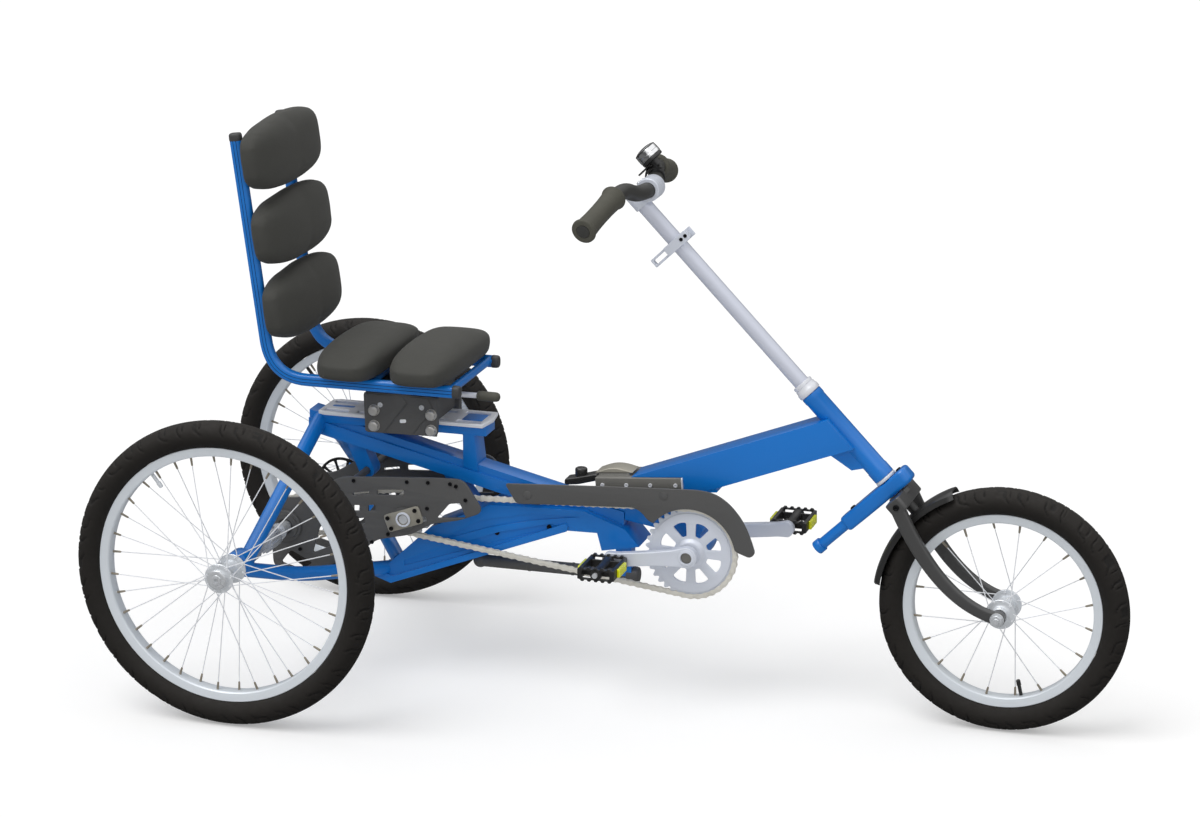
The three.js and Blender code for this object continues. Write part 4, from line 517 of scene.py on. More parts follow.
# %% A socket bolt
def socket_bolt(place, axis, radius, height, segments=36):
    """A turned head with a sunk middle; the head starts at the place and grows along the axis."""
    soft = min(radius, height) * 0.3
    socket, floor_at = radius * 0.48, height * 0.35
    rim = [(0, 0), (0, radius), (height - soft, radius), (height - soft * 0.3, radius - soft * 0.35),
           (height, radius - soft), (height, socket * 1.12), (height - soft * 0.3, socket),
           (floor_at, socket * 0.98), (floor_at, 0)]
    return revolve(rim, place, axis, segments)


print("tool bench ready")

# %% [markdown]
# ## Tyres
#
# A bicycle tyre is a horseshoe section that grips the rim with two beads. Turning that section on the
# lathe gives the tyre, and the tread is then pressed in: slanted, slightly wavy cuts on both shoulders and
# a fine line along the crown. A bump texture could fake this, but the cuts show on the outline, so they
# are real.

# %% Turning the tyres and cutting the tread
BEAD_TURN, BEAD_STAND = math.radians(145), 0.45
SECTION_STEPS, SECTION_HALF = 42, 21
TREAD_PITCH, TREAD_DEPTH, TREAD_EDGE = 36.0, 2.2, 1.5
RIM_BELOW_TREAD = 40.5
WHEELS = {
    "right_rear": {"body": "right_wheel", "spokes": 36, "steps": 1180, "valve": 128, "cap": "hub_alloy"},
    "left_rear": {"body": "left_wheel", "spokes": 36, "steps": 1180, "valve": 128, "cap": "black_plastic"},
    "front": {"body": "front_wheel", "spokes": 20, "steps": 940, "valve": -77, "cap": "black_plastic"},
}
for name, wheel in WHEELS.items():
    wheel["centre"] = middle(name + "_tyre")
    wheel["radius"] = size_of(name + "_tyre").z / 2
    wheel["half"] = size_of(name + "_tyre").y / 2
    wheel["rim_half"] = size_of(name + "_rim").y / 2
    wheel["rim_radius"] = wheel["radius"] - RIM_BELOW_TREAD
    wheel["hub_half"] = size_of(name + "_hub").y / 2


def near(value, place, half):
    """One at the place, falling to zero where the value is half a width away."""
    return max(0.0, 1 - abs(value - place) / half)


def tread_cut(turn, t, radius):
    """How deep the tread is cut, from 0 to 1, at an angle round the wheel and one round the section."""
    reach = abs(t) / (math.pi / 2)
    count = round(2 * math.pi * radius / TREAD_PITCH)
    place = count * turn / (2 * math.pi) + (0.5 if t > 0 else 0)
    wave = 0.95 * reach + 0.16 * math.sin(6.5 * reach) + 0.18 * math.sin(turn * 17) + 0.1 * math.sin(turn * 41)
    long_cut = near((place + wave) % 1, 0.5, 0.085) * max(0.0, 1 - max(0.0, abs(reach - 0.58) - 0.3) / 0.1)
    short = (place + 0.45 + 0.85 * wave + 0.14 * math.sin(turn * 29)) % 1
    short_cut = near(short, 0.5, 0.06) * max(0.0, 1 - (abs(reach - 0.42) / 0.26) ** 4)
    crown = near(reach, 0.14, 0.035) * 0.6
    return min(1.0, max(long_cut, short_cut, crown) * 1.5)


def tyre_part(wheel):
    belly = wheel["radius"] - SECTION_HALF
    bead_drop = (belly - wheel["rim_radius"] - BEAD_STAND) / -math.cos(BEAD_TURN)
    points = []
    for i in range(wheel["steps"]):
        turn = 2 * math.pi * i / wheel["steps"]
        out = FORWARD * math.cos(turn) + UP * math.sin(turn)
        for k in range(SECTION_STEPS + 1):
            t = BEAD_TURN * (2 * k / SECTION_STEPS - 1)
            squash = SECTION_HALF if abs(t) < math.pi / 2 else bead_drop
            depth = TREAD_DEPTH * tread_cut(turn, t, wheel["radius"]) if abs(t) < TREAD_EDGE else 0
            r = belly + (squash - depth) * math.cos(t)
            y = (wheel["half"] - depth * abs(math.sin(t))) * math.sin(t)
            points.append(wheel["centre"] + (out * r + LEFT * y) * MM)
    return points, skin(wheel["steps"], SECTION_STEPS + 1)


def paint_shade_in_cuts(piece, wheel):
    """Gives the faces at the bottom of the cuts a darker rubber: painted shade in the hollows of the tread."""
    piece.data.materials.append(FINISHES["groove_painted_shade"])
    for face in piece.data.polygons:
        spot = (face.center - wheel["centre"]) / MM
        out = math.hypot(spot.x, spot.z) - wheel["radius"] + SECTION_HALF
        if out > 0:
            t = math.atan2(spot.y / wheel["half"], out / SECTION_HALF)
            cut = tread_cut(math.atan2(spot.z, spot.x), t, wheel["radius"])
            face.material_index = int(cut > 0.5)


for name, wheel in WHEELS.items():
    piece = make(name + "_tread", [tyre_part(wheel)], wheel["body"], "tyre", [name + "_tyre"], sharp=60)
    # Painted shade: the bottoms of the tread cuts get a darker rubber.
    paint_shade_in_cuts(piece, wheel)

# %% [markdown]
# ## Rims, spokes and valves
#
# A rim is a hollow alloy hoop: two braking walls with a machined line, a curved well between them and a
# flat floor where the nipples sit. Spokes cross over each other from flange to rim in pairs that lean
# forwards and backwards, which carries the pull of the pedals. Each spoke ends in a brass nipple, plated
# silver.

# %% Rims with a valve
RIM_DEPTH, VALVE_LENGTH, VALVE_THREADS = 15.0, 28.0, 14


def rim_profile(wheel):
    # Each row: in from the wall, and out from the floor or, below zero, in from the edge.
    floor_rows = [(5.4, -0.2), (3.2, 0.3), (1.3, 2.2), (0.7, 5), (0.55, 5.5), (0.35, 6)]
    edge_rows = [(0.3, 2.2), (0, 1.6), (0, 0.6), (0.6, 0), (1.7, 0.4), (2, 1.6), (2.4, 6), (4.2, 8.4),
                 (6.6, 9.6)]
    edge, half = wheel["rim_radius"], wheel["rim_half"]
    return mirrored([(half - a, edge - RIM_DEPTH + b) for a, b in floor_rows]
                    + [(half - a, edge - b) for a, b in edge_rows])


def valve_part(wheel):
    c, s = polar(1, math.radians(wheel["valve"]))
    way = Vector((c, 0, s))
    start = wheel["centre"] + way * ((wheel["rim_radius"] - RIM_DEPTH + 1) * MM)
    rib = [(-1, 0), (-1, 3.0), (2.2, 3.0), (2.6, 2.2)]
    neck = [(2.6 + k, 3.1 if k % 2 else 2.8) for k in range(1, VALVE_THREADS + 1)]
    cap = [(17.4, 2.9), (18, 3.7), (VALVE_LENGTH - 2, 3.4), (VALVE_LENGTH - 0.8, 2.3), (VALVE_LENGTH - 0.6, 0)]
    return revolve(rib + neck + cap, start, -way, 24)


for name, wheel in WHEELS.items():
    hoop = revolve(rim_profile(wheel), wheel["centre"], LEFT, 240, loop=True)
    make(name + "_hoop", [hoop], wheel["body"], "rim_alloy", [name + "_rim"], sharp=32)
    make(name + "_valve", [valve_part(wheel)], wheel["body"], "rim_alloy", look=wheel["cap"])

# %% Hubs, crossed spokes and nipples
FLANGE_RADIUS, FLANGE_PLACE, FLANGE_HALF = 24.0, 26.0, 1.5
BARREL_RADIUS, BARREL_WAIST, HUB_BORE = 15.0, 13.6, 11.0
SPOKE_RADIUS, SPOKE_LEAN, SPOKE_LANE, SPOKE_HOLES = 0.85, math.radians(35), 3.5, FLANGE_RADIUS - 3.2


def hub_profile(wheel):
    half, face, root = wheel["hub_half"], FLANGE_PLACE + FLANGE_HALF, FLANGE_PLACE - FLANGE_HALF
    barrel = [(half, -3), (half - 1, -2), (face + 2, -1.4), (face + 0.3, 1), (face, 3)]
    flange = [(face, -0.8), (face - 0.8, 0), (root + 0.8, 0), (root, -0.8)]
    waist = [(root, 3), (root - 1.2, 0.6), (root - 3, 0)]
    return mirrored([(half, HUB_BORE)] + [(y, BARREL_RADIUS + r) for y, r in barrel]
                    + [(y, FLANGE_RADIUS + r) for y, r in flange]
                    + [(y, BARREL_RADIUS + r) for y, r in waist] + [(8, BARREL_WAIST)])


def spoke_ends(wheel, i):
    """Where a spoke leaves the flange and where its nipple meets the rim, and its head's way."""
    side, inward = (1 if i % 2 else -1), (1 if i % 4 < 2 else -1)
    rim_turn = 2 * math.pi * (i + 0.5) / wheel["spokes"]
    lane = inward * (SPOKE_RADIUS + 0.3)
    ends = []
    for radius, turn, y in ((SPOKE_HOLES, rim_turn - inward * SPOKE_LEAN, FLANGE_PLACE),
                            (wheel["rim_radius"] - RIM_DEPTH, rim_turn, SPOKE_LANE)):
        x, z = polar(radius, turn)
        ends.append(wheel["centre"] + Vector((x, side * y + lane, z)) * MM)
    return *ends, LEFT * (side * inward)


def spoke_parts(wheel):
    parts = []
    for i in range(wheel["spokes"]):
        low, high, out = spoke_ends(wheel, i)
        wire = [(0, 0), (0, SPOKE_RADIUS), ((high - low).length / MM, SPOKE_RADIUS)]
        parts += [revolve(wire, low, high - low, 8),
                  revolve([(0, 0), (0, 1.9), (1.1, 1.5), (1.6, 0)], low + out * (2.0 * MM), out, 12)]
    return parts


def nipple_parts(wheel):
    shape = [(-1, 0), (-1, 2.0), (2.4, 2.0), (12, 1.7), (13.5, 1.2), (13.5, 0)]
    ends = [spoke_ends(wheel, i) for i in range(wheel["spokes"])]
    return [revolve(shape, high, low - high, 8) for low, high, _ in ends]


for name, wheel in WHEELS.items():
    hub = revolve(hub_profile(wheel), wheel["centre"], LEFT, 64, loop=True)
    make(name + "_hub_shell", [hub], wheel["body"], "hub_alloy", [name + "_hub"], sharp=32)
    make(name + "_spokes", spoke_parts(wheel), wheel["body"], "hub_alloy", look="spoke_white", sharp=40)
    make(name + "_nipples", nipple_parts(wheel), wheel["body"], "hub_alloy", look="nipple_grey", sharp=40)

# %% [markdown]
# ## Drive axle, brake disc and the middle shaft
#
# The rear axle is one long bar across both wheels. A toothed sleeve on it takes the brake's slider, a cog
# sits beside the middle, and a domed bolt ends each side. Cogs are cut as flat outlines whose teeth are
# rounded hooks, so that the rollers of a chain can settle between them.

# %% Cogs and toothed rings
PITCH, TOOTH_DROP, TOOTH_RISE, TOOTH_THICK, TOOTH_STEPS = 12.7, 3.4, 2.6, 2.2, 12
COG_TEETH, RING_TEETH = 16, 36
CHAIN_SIDE, SECOND_CHAIN_SIDE = -47.0, -14.0


def pitch_radius(teeth):
    return PITCH / 2 / math.sin(math.pi / teeth)


def tooth_outline(teeth):
    """The rim of a toothed wheel; the valleys between teeth hold the rollers."""
    outline = []
    for i in range(teeth * TOOTH_STEPS):
        wave = math.cos(2 * math.pi * i / TOOTH_STEPS)
        lift = min(TOOTH_RISE, 6.0 * max(0.0, 0.5 - 0.62 * wave) ** 0.75 - TOOTH_DROP)
        outline.append(polar(pitch_radius(teeth) + lift, 2 * math.pi * i / TOOTH_STEPS / teeth))
    return outline


def beside(centre, y):
    """The point that lies across from a centre, in millimetres to the rider's left."""
    return Vector((centre.x, y * MM, centre.z))


axle_centre = Vector((axle_x, 0, axle_z))
shaft_centre = middle("intermediate_shaft")
crank_centre = middle("crank_spindle")

# %% The rear axle
SPLINE_MIDDLE, SPLINE_LENGTH, SPLINE_TEETH, SPLINE_STEPS = -153.0, 46.0, 16, 8
axle_end = size_of("drive_axle").y / 2
end_bolt = [(0, 0), (0, 16), (1.6, 16), (2.6, 15), (3.4, 12.4), (3.4, 8.6), (4.4, 7.8), (4.7, 6.4),
            (4.7, 3.6), (2.6, 3.2), (2.6, 0)]
collar = [(0, 9.9), (0.4, 14), (5.2, 14), (5.6, 9.9)]
axle = [spindle_bar(axle_end - 4, 10, 9.2, axle_centre, 48)]
for side in (-1, 1):
    axle.append(revolve(end_bolt, beside(axle_centre, side * (axle_end - 4.7)), LEFT * side, 48))
    for place in (106, 214, 232, 248):
        axle.append(revolve(collar, beside(axle_centre, side * place), LEFT * side, 40))
spline = []
for i in range(SPLINE_TEETH * SPLINE_STEPS):
    wave = max(-1, min(1, 2.4 * math.cos(2 * math.pi * i / SPLINE_STEPS)))
    spline.append(polar(15.6 + 1.4 * wave, 2 * math.pi * i / (SPLINE_TEETH * SPLINE_STEPS)))
cog_centre = beside(axle_centre, SECOND_CHAIN_SIDE)
axle.append(plate([spline], SPLINE_LENGTH, beside(axle_centre, SPLINE_MIDDLE), 0.8))
axle.append(plate([tooth_outline(COG_TEETH), circle(9.8)], TOOTH_THICK, cog_centre, 0.4))
cog_boss = [(1, 9.9), (1, 20), (1.6, 21), (4, 20), (8, 14), (9, 9.9)]
axle += [revolve(cog_boss, cog_centre, LEFT * side, 48) for side in (1, -1)]
make("rear_axle_bar", axle, "right_wheel", "axle_steel", ["drive_axle"])

# %% The brake disc
DISC_RADIUS, DISC_WALL, DISC_ARMS = 43.0, 4.6, 10
disc_centre = middle("brake_disc")
arm = flat_rounded([(12, -3.2), (30, -1.6), (40, -2.6), (40, 2.6), (30, 1.6), (12, 3.2)], 2)
rim = [circle(DISC_RADIUS, 120), circle(DISC_RADIUS - DISC_WALL, 90)]
disc = [plate(rim, 2.6, disc_centre, 0.3, rounds=1)]
for i in range(DISC_ARMS):
    c, s = polar(1, 2 * math.pi * i / DISC_ARMS)
    disc.append(plate([arm], 3.4, disc_centre, 0.5, Vector((c, 0, s)), Vector((-s, 0, c))))
    disc.append(socket_bolt(disc_centre + Vector((39.6 * c, -1.2, 39.6 * s)) * MM, -LEFT, 3.0, 1.8, 18))
disc.append(plate([circle(20, 60), circle(10.4, 40)], 3.8, disc_centre, 0.6))
make("brake_rotor", disc, "right_wheel", "disc_black", ["brake_disc"])

# %% The middle shaft with its gear shell
SHELL_MIDDLE, PORTS, PORT_PLACE = 31, 6, 19
shell_side = [(24, 8), (24, 20), (23.6, 25), (22, 27.4), (19, 28.2), (18, 29), (14, 29), (13.6, 26.4),
              (11, 25.4), (0, 25)]
shell = [spindle_bar(size_of("intermediate_shaft").y / 2, 8, 7, beside(shaft_centre, 0), 40),
         revolve(mirrored(shell_side), beside(shaft_centre, SHELL_MIDDLE), LEFT, 72)]
ports = [circle(4.2, 20, *polar(PORT_PLACE, 2 * math.pi * i / PORTS)) for i in range(PORTS)]
for side in (CHAIN_SIDE, SECOND_CHAIN_SIDE):
    centre = beside(shaft_centre, side)
    shell.append(plate([tooth_outline(COG_TEETH), circle(7.8)] + ports, TOOTH_THICK, centre, 0.4))
    shell.append(revolve(mirrored([(5, 7.9), (5, 13), (1, 13.6)]), centre, LEFT, 40))
make("middle_shaft_set", shell, "shaft", "axle_steel", ["intermediate_shaft"])

# %% [markdown]
# ## Chains
#
# A roller chain is outer plates, inner plates, pins and rollers, repeated every half inch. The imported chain
# is a waisted band; here every link is laid along the same line: two straight runs and the arcs round the
# toothed wheels. Inner and outer links alternate, so the number of links is even.

# %% Laying the links
PLATE_THICK, PLATE_END, PLATE_WAIST = 1.1, 4.5, 3.3
INNER_PLATE_AT, OUTER_PLATE_AT, ROLLER_RADIUS = 2.05, 3.1, 3.9


def ahead(turn):
    return Vector(polar(1, turn))


def arc(radius, start, end, count, x=0):
    """Points on a circle about (x, 0), from one angle in degrees to another."""
    turns = np.radians(np.linspace(start, end, count))
    return [(x + radius * math.cos(turn), radius * math.sin(turn)) for turn in turns]


def chain_line(rear, rear_teeth, front, front_teeth):
    """The places of the pins, in millimetres forward and up, on the line round two toothed wheels."""
    rear_circle, front_circle = pitch_radius(rear_teeth), pitch_radius(front_teeth)
    span = front - rear
    tilt = math.atan2(span.y, span.x)
    lean = math.asin((front_circle - rear_circle) / span.length)
    straight = span.length * math.cos(lean)
    front_wrap = front_circle * (math.pi + 2 * lean)
    total = 2 * straight + front_wrap + rear_circle * (math.pi - 2 * lean)
    top, base = tilt + math.pi / 2 + lean, tilt - math.pi / 2 - lean

    def spot(run):
        if run < straight:
            return rear + rear_circle * ahead(top) + run * ahead(top - math.pi / 2)
        run -= straight
        if run < front_wrap:
            return front + front_circle * ahead(top - run / front_circle)
        run -= front_wrap
        if run < straight:
            return front + front_circle * ahead(base) + run * ahead(base - math.pi / 2)
        return rear + rear_circle * ahead(base - (run - straight) / rear_circle)

    links = 2 * round(total / PITCH / 2)
    return [spot(total * i / links) for i in range(links)]


def link_outline(length):
    """A figure of eight: two round ends joined by a narrower waist."""
    half = arc(PLATE_END, -100, 100, 11, length / 2) + [(0, PLATE_WAIST)]
    return half + [(-x, -y) for x, y in half]


def chain_parts(line, side):
    parts = []
    for i, pin in enumerate(line):
        after = line[(i + 1) % len(line)]
        way, centre = after - pin, (pin + after) / 2
        along = Vector((way.x, 0, way.y)).normalized()
        offset = INNER_PLATE_AT if i % 2 else OUTER_PLATE_AT
        for face in (-1, 1):
            origin, up = Vector((centre.x, side + face * offset, centre.y)) * MM, LEFT.cross(along)
            parts.append(plate([link_outline(way.length)], PLATE_THICK, origin, 0.28, along, up, 1))
        spot = Vector((pin.x, side, pin.y)) * MM
        parts.append(revolve(mirrored([(1.7, 0), (1.7, ROLLER_RADIUS)]), spot, LEFT, 16))
        parts.append(revolve(mirrored([(4.0, 0), (4.0, 1.2), (3.7, 1.7)]), spot, LEFT, 12))
    return parts


centres = (axle_centre, shaft_centre, crank_centre)
axle_spot, shaft_spot, crank_spot = (Vector((centre.x, centre.z)) / MM for centre in centres)
main_line = chain_line(shaft_spot, COG_TEETH, crank_spot, RING_TEETH)
rear_line = chain_line(axle_spot, COG_TEETH, shaft_spot, COG_TEETH)
make("main_chain_links", chain_parts(main_line, CHAIN_SIDE), "frame", "chain_steel", ["main_chain"])
make("rear_chain_links", chain_parts(rear_line, SECOND_CHAIN_SIDE), "frame", "chain_steel", ["rear_chain"])
print("links:", len(main_line), "and", len(rear_line))

# %% [markdown]
# ## Chainring, cranks and pedals
#
# The chainring is pressed from sheet: eight rounded windows, a stepped rim where the chain guard ring
# would sit, and thirty-six teeth. The cranks are forged bars with round eyes. The pedals are moulded
# cages with saw teeth for the shoe and a yellow reflector on each long side.

# %% The chainring
RING_WINDOWS, RING_STEP_RADIUS = 8, 66.0
WINDOW_HALF, WINDOW_OUT, WINDOW_IN = math.radians(13.5), 50.5, 28.5


def ring_window(index):
    """One window between two spokes of the ring: a ring sector with round corners."""
    mid = 2 * math.pi * (index + 0.5) / RING_WINDOWS
    spots = [(WINDOW_OUT, -1.0), (WINDOW_OUT + 1.2, -0.5), (WINDOW_OUT + 1.6, 0), (WINDOW_OUT + 1.2, 0.5),
             (WINDOW_OUT, 1.0), (WINDOW_IN, 0.62), (WINDOW_IN - 0.6, 0), (WINDOW_IN, -0.62)]
    return flat_rounded([polar(r, mid + share * WINDOW_HALF) for r, share in spots], 5)


ring_centre = beside(crank_centre, CHAIN_SIDE)
windows = [ring_window(i) for i in range(RING_WINDOWS)]
boss = [(1, 9.3), (1, 24), (3.4, 24), (4, 23), (5.4, 21.4), (7.4, 19.5), (8.4, 17), (8.4, 9.3)]
ring = [plate([tooth_outline(RING_TEETH), circle(9.4)] + windows, TOOTH_THICK, ring_centre, 0.35),
        plate([circle(RING_STEP_RADIUS, 140), circle(9.4)] + windows, 2.4, ring_centre - LEFT * 1.7 * MM, 0.6),
        revolve(boss, ring_centre, -LEFT, 72)]
make("chainwheel", ring, "crankset", "crank_alloy", ["chainring"])

# %% The cranks
CRANK_LENGTH, CRANK_THICK, CRANK_FACE = 127.5, 14.0, 78.0
CRANK_SIDES = (("left", 1), ("right", -1))
pedal_centres = {side: middle(side + "_pedal") for side, _ in CRANK_SIDES}


def crank_parts(side, sign):
    """A flat bar from the eye on the spindle to the pedal's eye, with raised rings round both."""
    reach = pedal_centres[side] - crank_centre
    along, out = Vector((reach.x, 0, reach.z)).normalized(), LEFT * sign
    origin = beside(crank_centre, sign * (CRANK_FACE - CRANK_THICK / 2))
    waist = [(24, 13.6), (52, 11.6), (CRANK_LENGTH - 14, 11)]
    outline = (arc(17, 75, 285, 19) + [(x, -y) for x, y in waist] + arc(13, -80, 80, 15, CRANK_LENGTH)
               + list(reversed(waist)))
    face, back = origin + out * (CRANK_THICK / 2 * MM), -CRANK_THICK
    tip, holes = face + along * (CRANK_LENGTH * MM), [flat_rounded(outline, 3, 3), circle(9.2)]
    return [plate(holes, CRANK_THICK, origin, 1.6, along, out.cross(along), 3),
            revolve([(-0.6, 13.4), (0.7, 13.2), (1.3, 12.4), (1.3, 9.2)], face, out, 48),
            revolve([(back - 1.4, 9.2), (back - 1.4, 15.4), (back + 0.5, 16)], face, out, 48),
            revolve([(-0.4, 9.4), (0.4, 9.2), (0.8, 8.4), (0.8, 4)], tip, out, 40)]


for side, sign in CRANK_SIDES:
    make(side + "_crank_arm", crank_parts(side, sign), "crankset", "crank_alloy", [side + "_crank"])

spindle = [spindle_bar(77, 9, 8, crank_centre, 40)]
spindle += [socket_bolt(crank_centre + LEFT * (sign * 74.5 * MM), LEFT * sign, 8.6, 2.4) for sign in (-1, 1)]
make("spindle_and_bolts", spindle, "crankset", "axle_steel", ["crank_spindle"], "bronze_grey")

# %% The pedals
PEDAL_HALF_X, PEDAL_HALF_Y, PEDAL_HALF_Z = 30.0, 38.0, 12.0
TEETH_PER_RAIL, TOOTH_SHARES = 5, [(0.12, 3), (0.3, 0.2), (0.62, 0.2), (0.8, 3)]


def pedal_rail_outline():
    """The side of the cage: a row of saw teeth above and below."""
    step = (2 * PEDAL_HALF_X - 4) / TEETH_PER_RAIL
    half = [(-PEDAL_HALF_X, PEDAL_HALF_Z - 4)]
    for i in range(TEETH_PER_RAIL):
        half += [(2 - PEDAL_HALF_X + (i + share) * step, PEDAL_HALF_Z - drop) for share, drop in TOOTH_SHARES]
    half.append((PEDAL_HALF_X, PEDAL_HALF_Z - 4))
    return half + [(-x, -z) for x, z in half]


def pedal_parts(side, sign):
    centre, parts = pedal_centres[side], []
    for place in (-1, 1):
        rail_at = centre + LEFT * (place * (PEDAL_HALF_Y - 2.6) * MM)
        end_at = centre + FORWARD * (place * (PEDAL_HALF_X - 3) * MM)
        parts.append(plate([pedal_rail_outline(), panel(23, 6.4, 3)], 5.2, rail_at, 0.6))
        parts.append(plate([panel(37.4, 8.4, 2)], 6, end_at, 0.8, LEFT))
    for rib in (-22, 22):
        parts.append(plate([panel(28, 6, 2)], 3.2, centre + LEFT * (rib * MM), 0.6))
    parts.append(revolve(mirrored([(37.6, 6), (37.6, 9), (30, 9.8), (12, 8.2)]), centre, LEFT, 40))
    parts.append(disc_rod(centre + LEFT * (sign * 37 * MM), LEFT * sign, 1.0, 8.4, 0.3))
    return parts


def reflector_parts(side):
    parts, rib = [], [(-1.7, -5.4), (1.7, -5.4), (1.7, 5.4), (-1.7, 5.4)]
    for place in (-1, 1):
        origin = pedal_centres[side] + FORWARD * (place * (PEDAL_HALF_X + 2.3) * MM)
        parts.append(plate([panel(20, 7, 1.6)], 4.6, origin, 0.7, LEFT))
        for k in range(-4, 5):
            rib_at = origin + (FORWARD * (place * 2.36) + LEFT * (k * 4.1)) * MM
            parts.append(plate([rib], 0.5, rib_at, 0.2, LEFT, rounds=1))
    return parts


for side, sign in CRANK_SIDES:
    body, slot = side + "_pedal_body", "black_plastic"
    make(side + "_pedal_cage", pedal_parts(side, sign), body, slot, [side + "_pedal"])
    make(side + "_reflectors", reflector_parts(side), body, slot, look="reflector")
    stub = revolve([(0, 0), (0, 7.2), (3.6, 7.2), (4, 5), (84, 4.2), (84, 0)],
                   beside(pedal_centres[side], sign * (CRANK_FACE - 1)), LEFT * sign, 24)
    make(side + "_pedal_axle", [stub], "crankset", "crank_alloy", look="axle_steel")

# %% [markdown]
# ## The frame's tubes
#
# The rear of the frame is a pair of bent round tubes under each side, drawn by a tube bender and welded
# into collars on the axle housings. The beams between them are pressings. Their shapes come from the packed
# solids, with edges rounded, and the welds are added as small rings.

# %% Rear stays and axle housings
STAY_WIDTH, LOWER_TUBE_WIDTH, LOWER_BEND = 25.0, 24.0, 0.045
HOUSING_SIDE = [(17, 12), (17, 17.4), (16, 18.6), (15, 19), (14, 20.6), (13, 21)]


def stay_parts(side):
    straight = [at(42, 10 * side, 424), at(6, 276 * side, 244)]
    bent = [at(0, 276 * side, 239.5), at(62, 170 * side, 202), at(163.4, 17.5 * side, 176)]
    weld = mirrored([(3, 14.6), (2.2, 15.7), (0.8, 16.5)])
    return [sweep(straight, STAY_WIDTH, sides=40),
            sweep(rounded(bent, LOWER_BEND, 12), LOWER_TUBE_WIDTH, sides=40),
            revolve(mirrored(HOUSING_SIDE), at(0, 276 * side, 250), LEFT, 64),
            revolve(weld, at(1, 260 * side, 250), LEFT, 48)]


for name, side in SIDES:
    make(name + "_stay_tubes", stay_parts(side), "frame", "frame_blue", [name + "_rear_stay"])

# %% Spar, beams and brackets with rounded edges
soften("upper_spar", 2.6, "frame_blue", 3)
soften("lower_beam", 2.2, "frame_blue", 3)
soften("crank_bracket", 1.6, "frame_blue")
soften("rail_box", 1.6, "frame_blue")
soften("seat_rail", 1.2, "rail_alloy")
soften("boom_housing", 1.4, "housing_alloy", look="bronze_grey")
rail_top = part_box("seat_rail")[1].z / MM
rail_windows = [plate([oblong(*window, 4, 5)], 0.6, at(0, 0, rail_top - 0.2), 0.2, FORWARD, LEFT, 1)
                for window in ((287, 322, -19, 19), (58, 96, -5, 5))]
make("rail_windows", rail_windows, "frame", "frame_blue")
for name, _ in SIDES:
    soften(name + "_shaft_bearing", 1.0, "housing_alloy")

# %% The carrier plates with their cut-outs
CARRIER_LOW, CARRIER_SIZE = (-30, 163.0), (372, 193.0)
CARRIER_SHARES = [(0, 0.69), (0.16, 0.715), (0.34, 0.93), (0.785, 0.995), (0.91, 1), (1, 0.73), (0.89, 0.64),
                  (0.755, 0.585), (0.67, 0.477), (0.5, 0.4), (0.35, 0.13), (0.16, 0), (0.016, 0.07)]
CUTS = [([(118, 313), (146, 318), (146, 322), (118, 317)], 1.2),
        ([(160, 317), (206, 320), (206, 330), (160, 326)], 3),
        ([(119, 286), (129, 287), (129, 297), (119, 296)], 1.5),
        ([(144, 288), (157, 290), (157, 300), (144, 298)], 1.5),
        ([(126, 264), (138, 266), (138, 276), (126, 274)], 1.5),
        ([(262, 287), (312, 292), (302, 316), (284, 313)], 3),
        ([(45, 207), (78, 222), (101, 252), (64, 271)], 6),
        ([(-11, 186), (26, 176), (45, 190), (7, 209)], 5),
        ([(232, 276), (246, 279), (243, 288), (230, 285)], 2)]


def of_shares(shares, low, size):
    """Points given as shares of a box, in the box's own unit."""
    return [(low[0] + a * size[0], low[1] + b * size[1]) for a, b in shares]


def carrier_parts(side):
    outer = flat_rounded(of_shares(CARRIER_SHARES, CARRIER_LOW, CARRIER_SIZE), 14)
    cuts = [flat_rounded(cut, soft, 5) for cut, soft in CUTS]
    axle_ring = [(-3, 13), (-3, 27), (3.2, 27), (3.8, 26.2), (3.8, 22), (5.4, 21.4), (5.4, 13)]
    shaft_ring = [(-3, 13), (-3, 20), (2.6, 20), (2.6, 13)]
    out = LEFT * side
    return [plate([outer] + cuts, 5, at(0, side * 72.5, 0), 0.8),
            revolve(axle_ring, at(0, side * 75, 250), out, 64),
            revolve(shaft_ring, at(206, side * 75, 281), out, 64),
            revolve([(0, 6), (70, 6)], at(120, side * 2, 338), out, 24),
            revolve([(0, 6), (70, 6)], at(277.2, side * 2, 327.8), out, 24)]


for name, side in SIDES:
    make(name + "_carrier_skin", carrier_parts(side), "frame", "dark_paint", [name + "_carrier_plate"])

# %% The brace and the beams' own bolts
BEAM_BOLTS = ((351, 258), (523, 300), (554, 293), (180, 205), (440, 276))
CARRIER_BOLTS = ((120, 338), (84, 190), (24, 212), (312, 322), (212, 344), (56, 300), (248, 346),
                 (150, 236), (64, 262), (296, 344), (286, 347), (178, 252), (246, 302))
brace_foot = [(0, 10), (0.6, 12.6), (2, 14), (16, 14), (19.4, 13), (20.6, 11), (21, 7), (21, 0)]
brace_cap = [(-x, y) for x, y in arc(12, 0, 180, 17)]
brace = [revolve([(0, 0), (0, 10), (254, 10)], at(310, 0, 197), FORWARD, 40),
         revolve(brace_foot, at(562, 0, 197), FORWARD, 48),
         revolve(brace_cap, at(311, 0, 197), FORWARD, 40)]
brace += [revolve(mirrored([(2, 10), (1.6, 10.7)]), at(place, 0, 197), FORWARD, 40) for place in (396, 470)]
make("brace_tube", brace, "frame", "dark_paint", ["lower_brace"])


def side_face(node, x, z, side):
    """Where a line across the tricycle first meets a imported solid, or None where it passes by."""
    solid = frame["nodes"][node]
    points = [solid.matrix_world @ v.co for v in solid.data.vertices]
    tree = BVHTree.FromPolygons(points, [tuple(p.vertices) for p in solid.data.polygons])
    return tree.ray_cast(at(x, side * 400, z), LEFT * -side)[0]


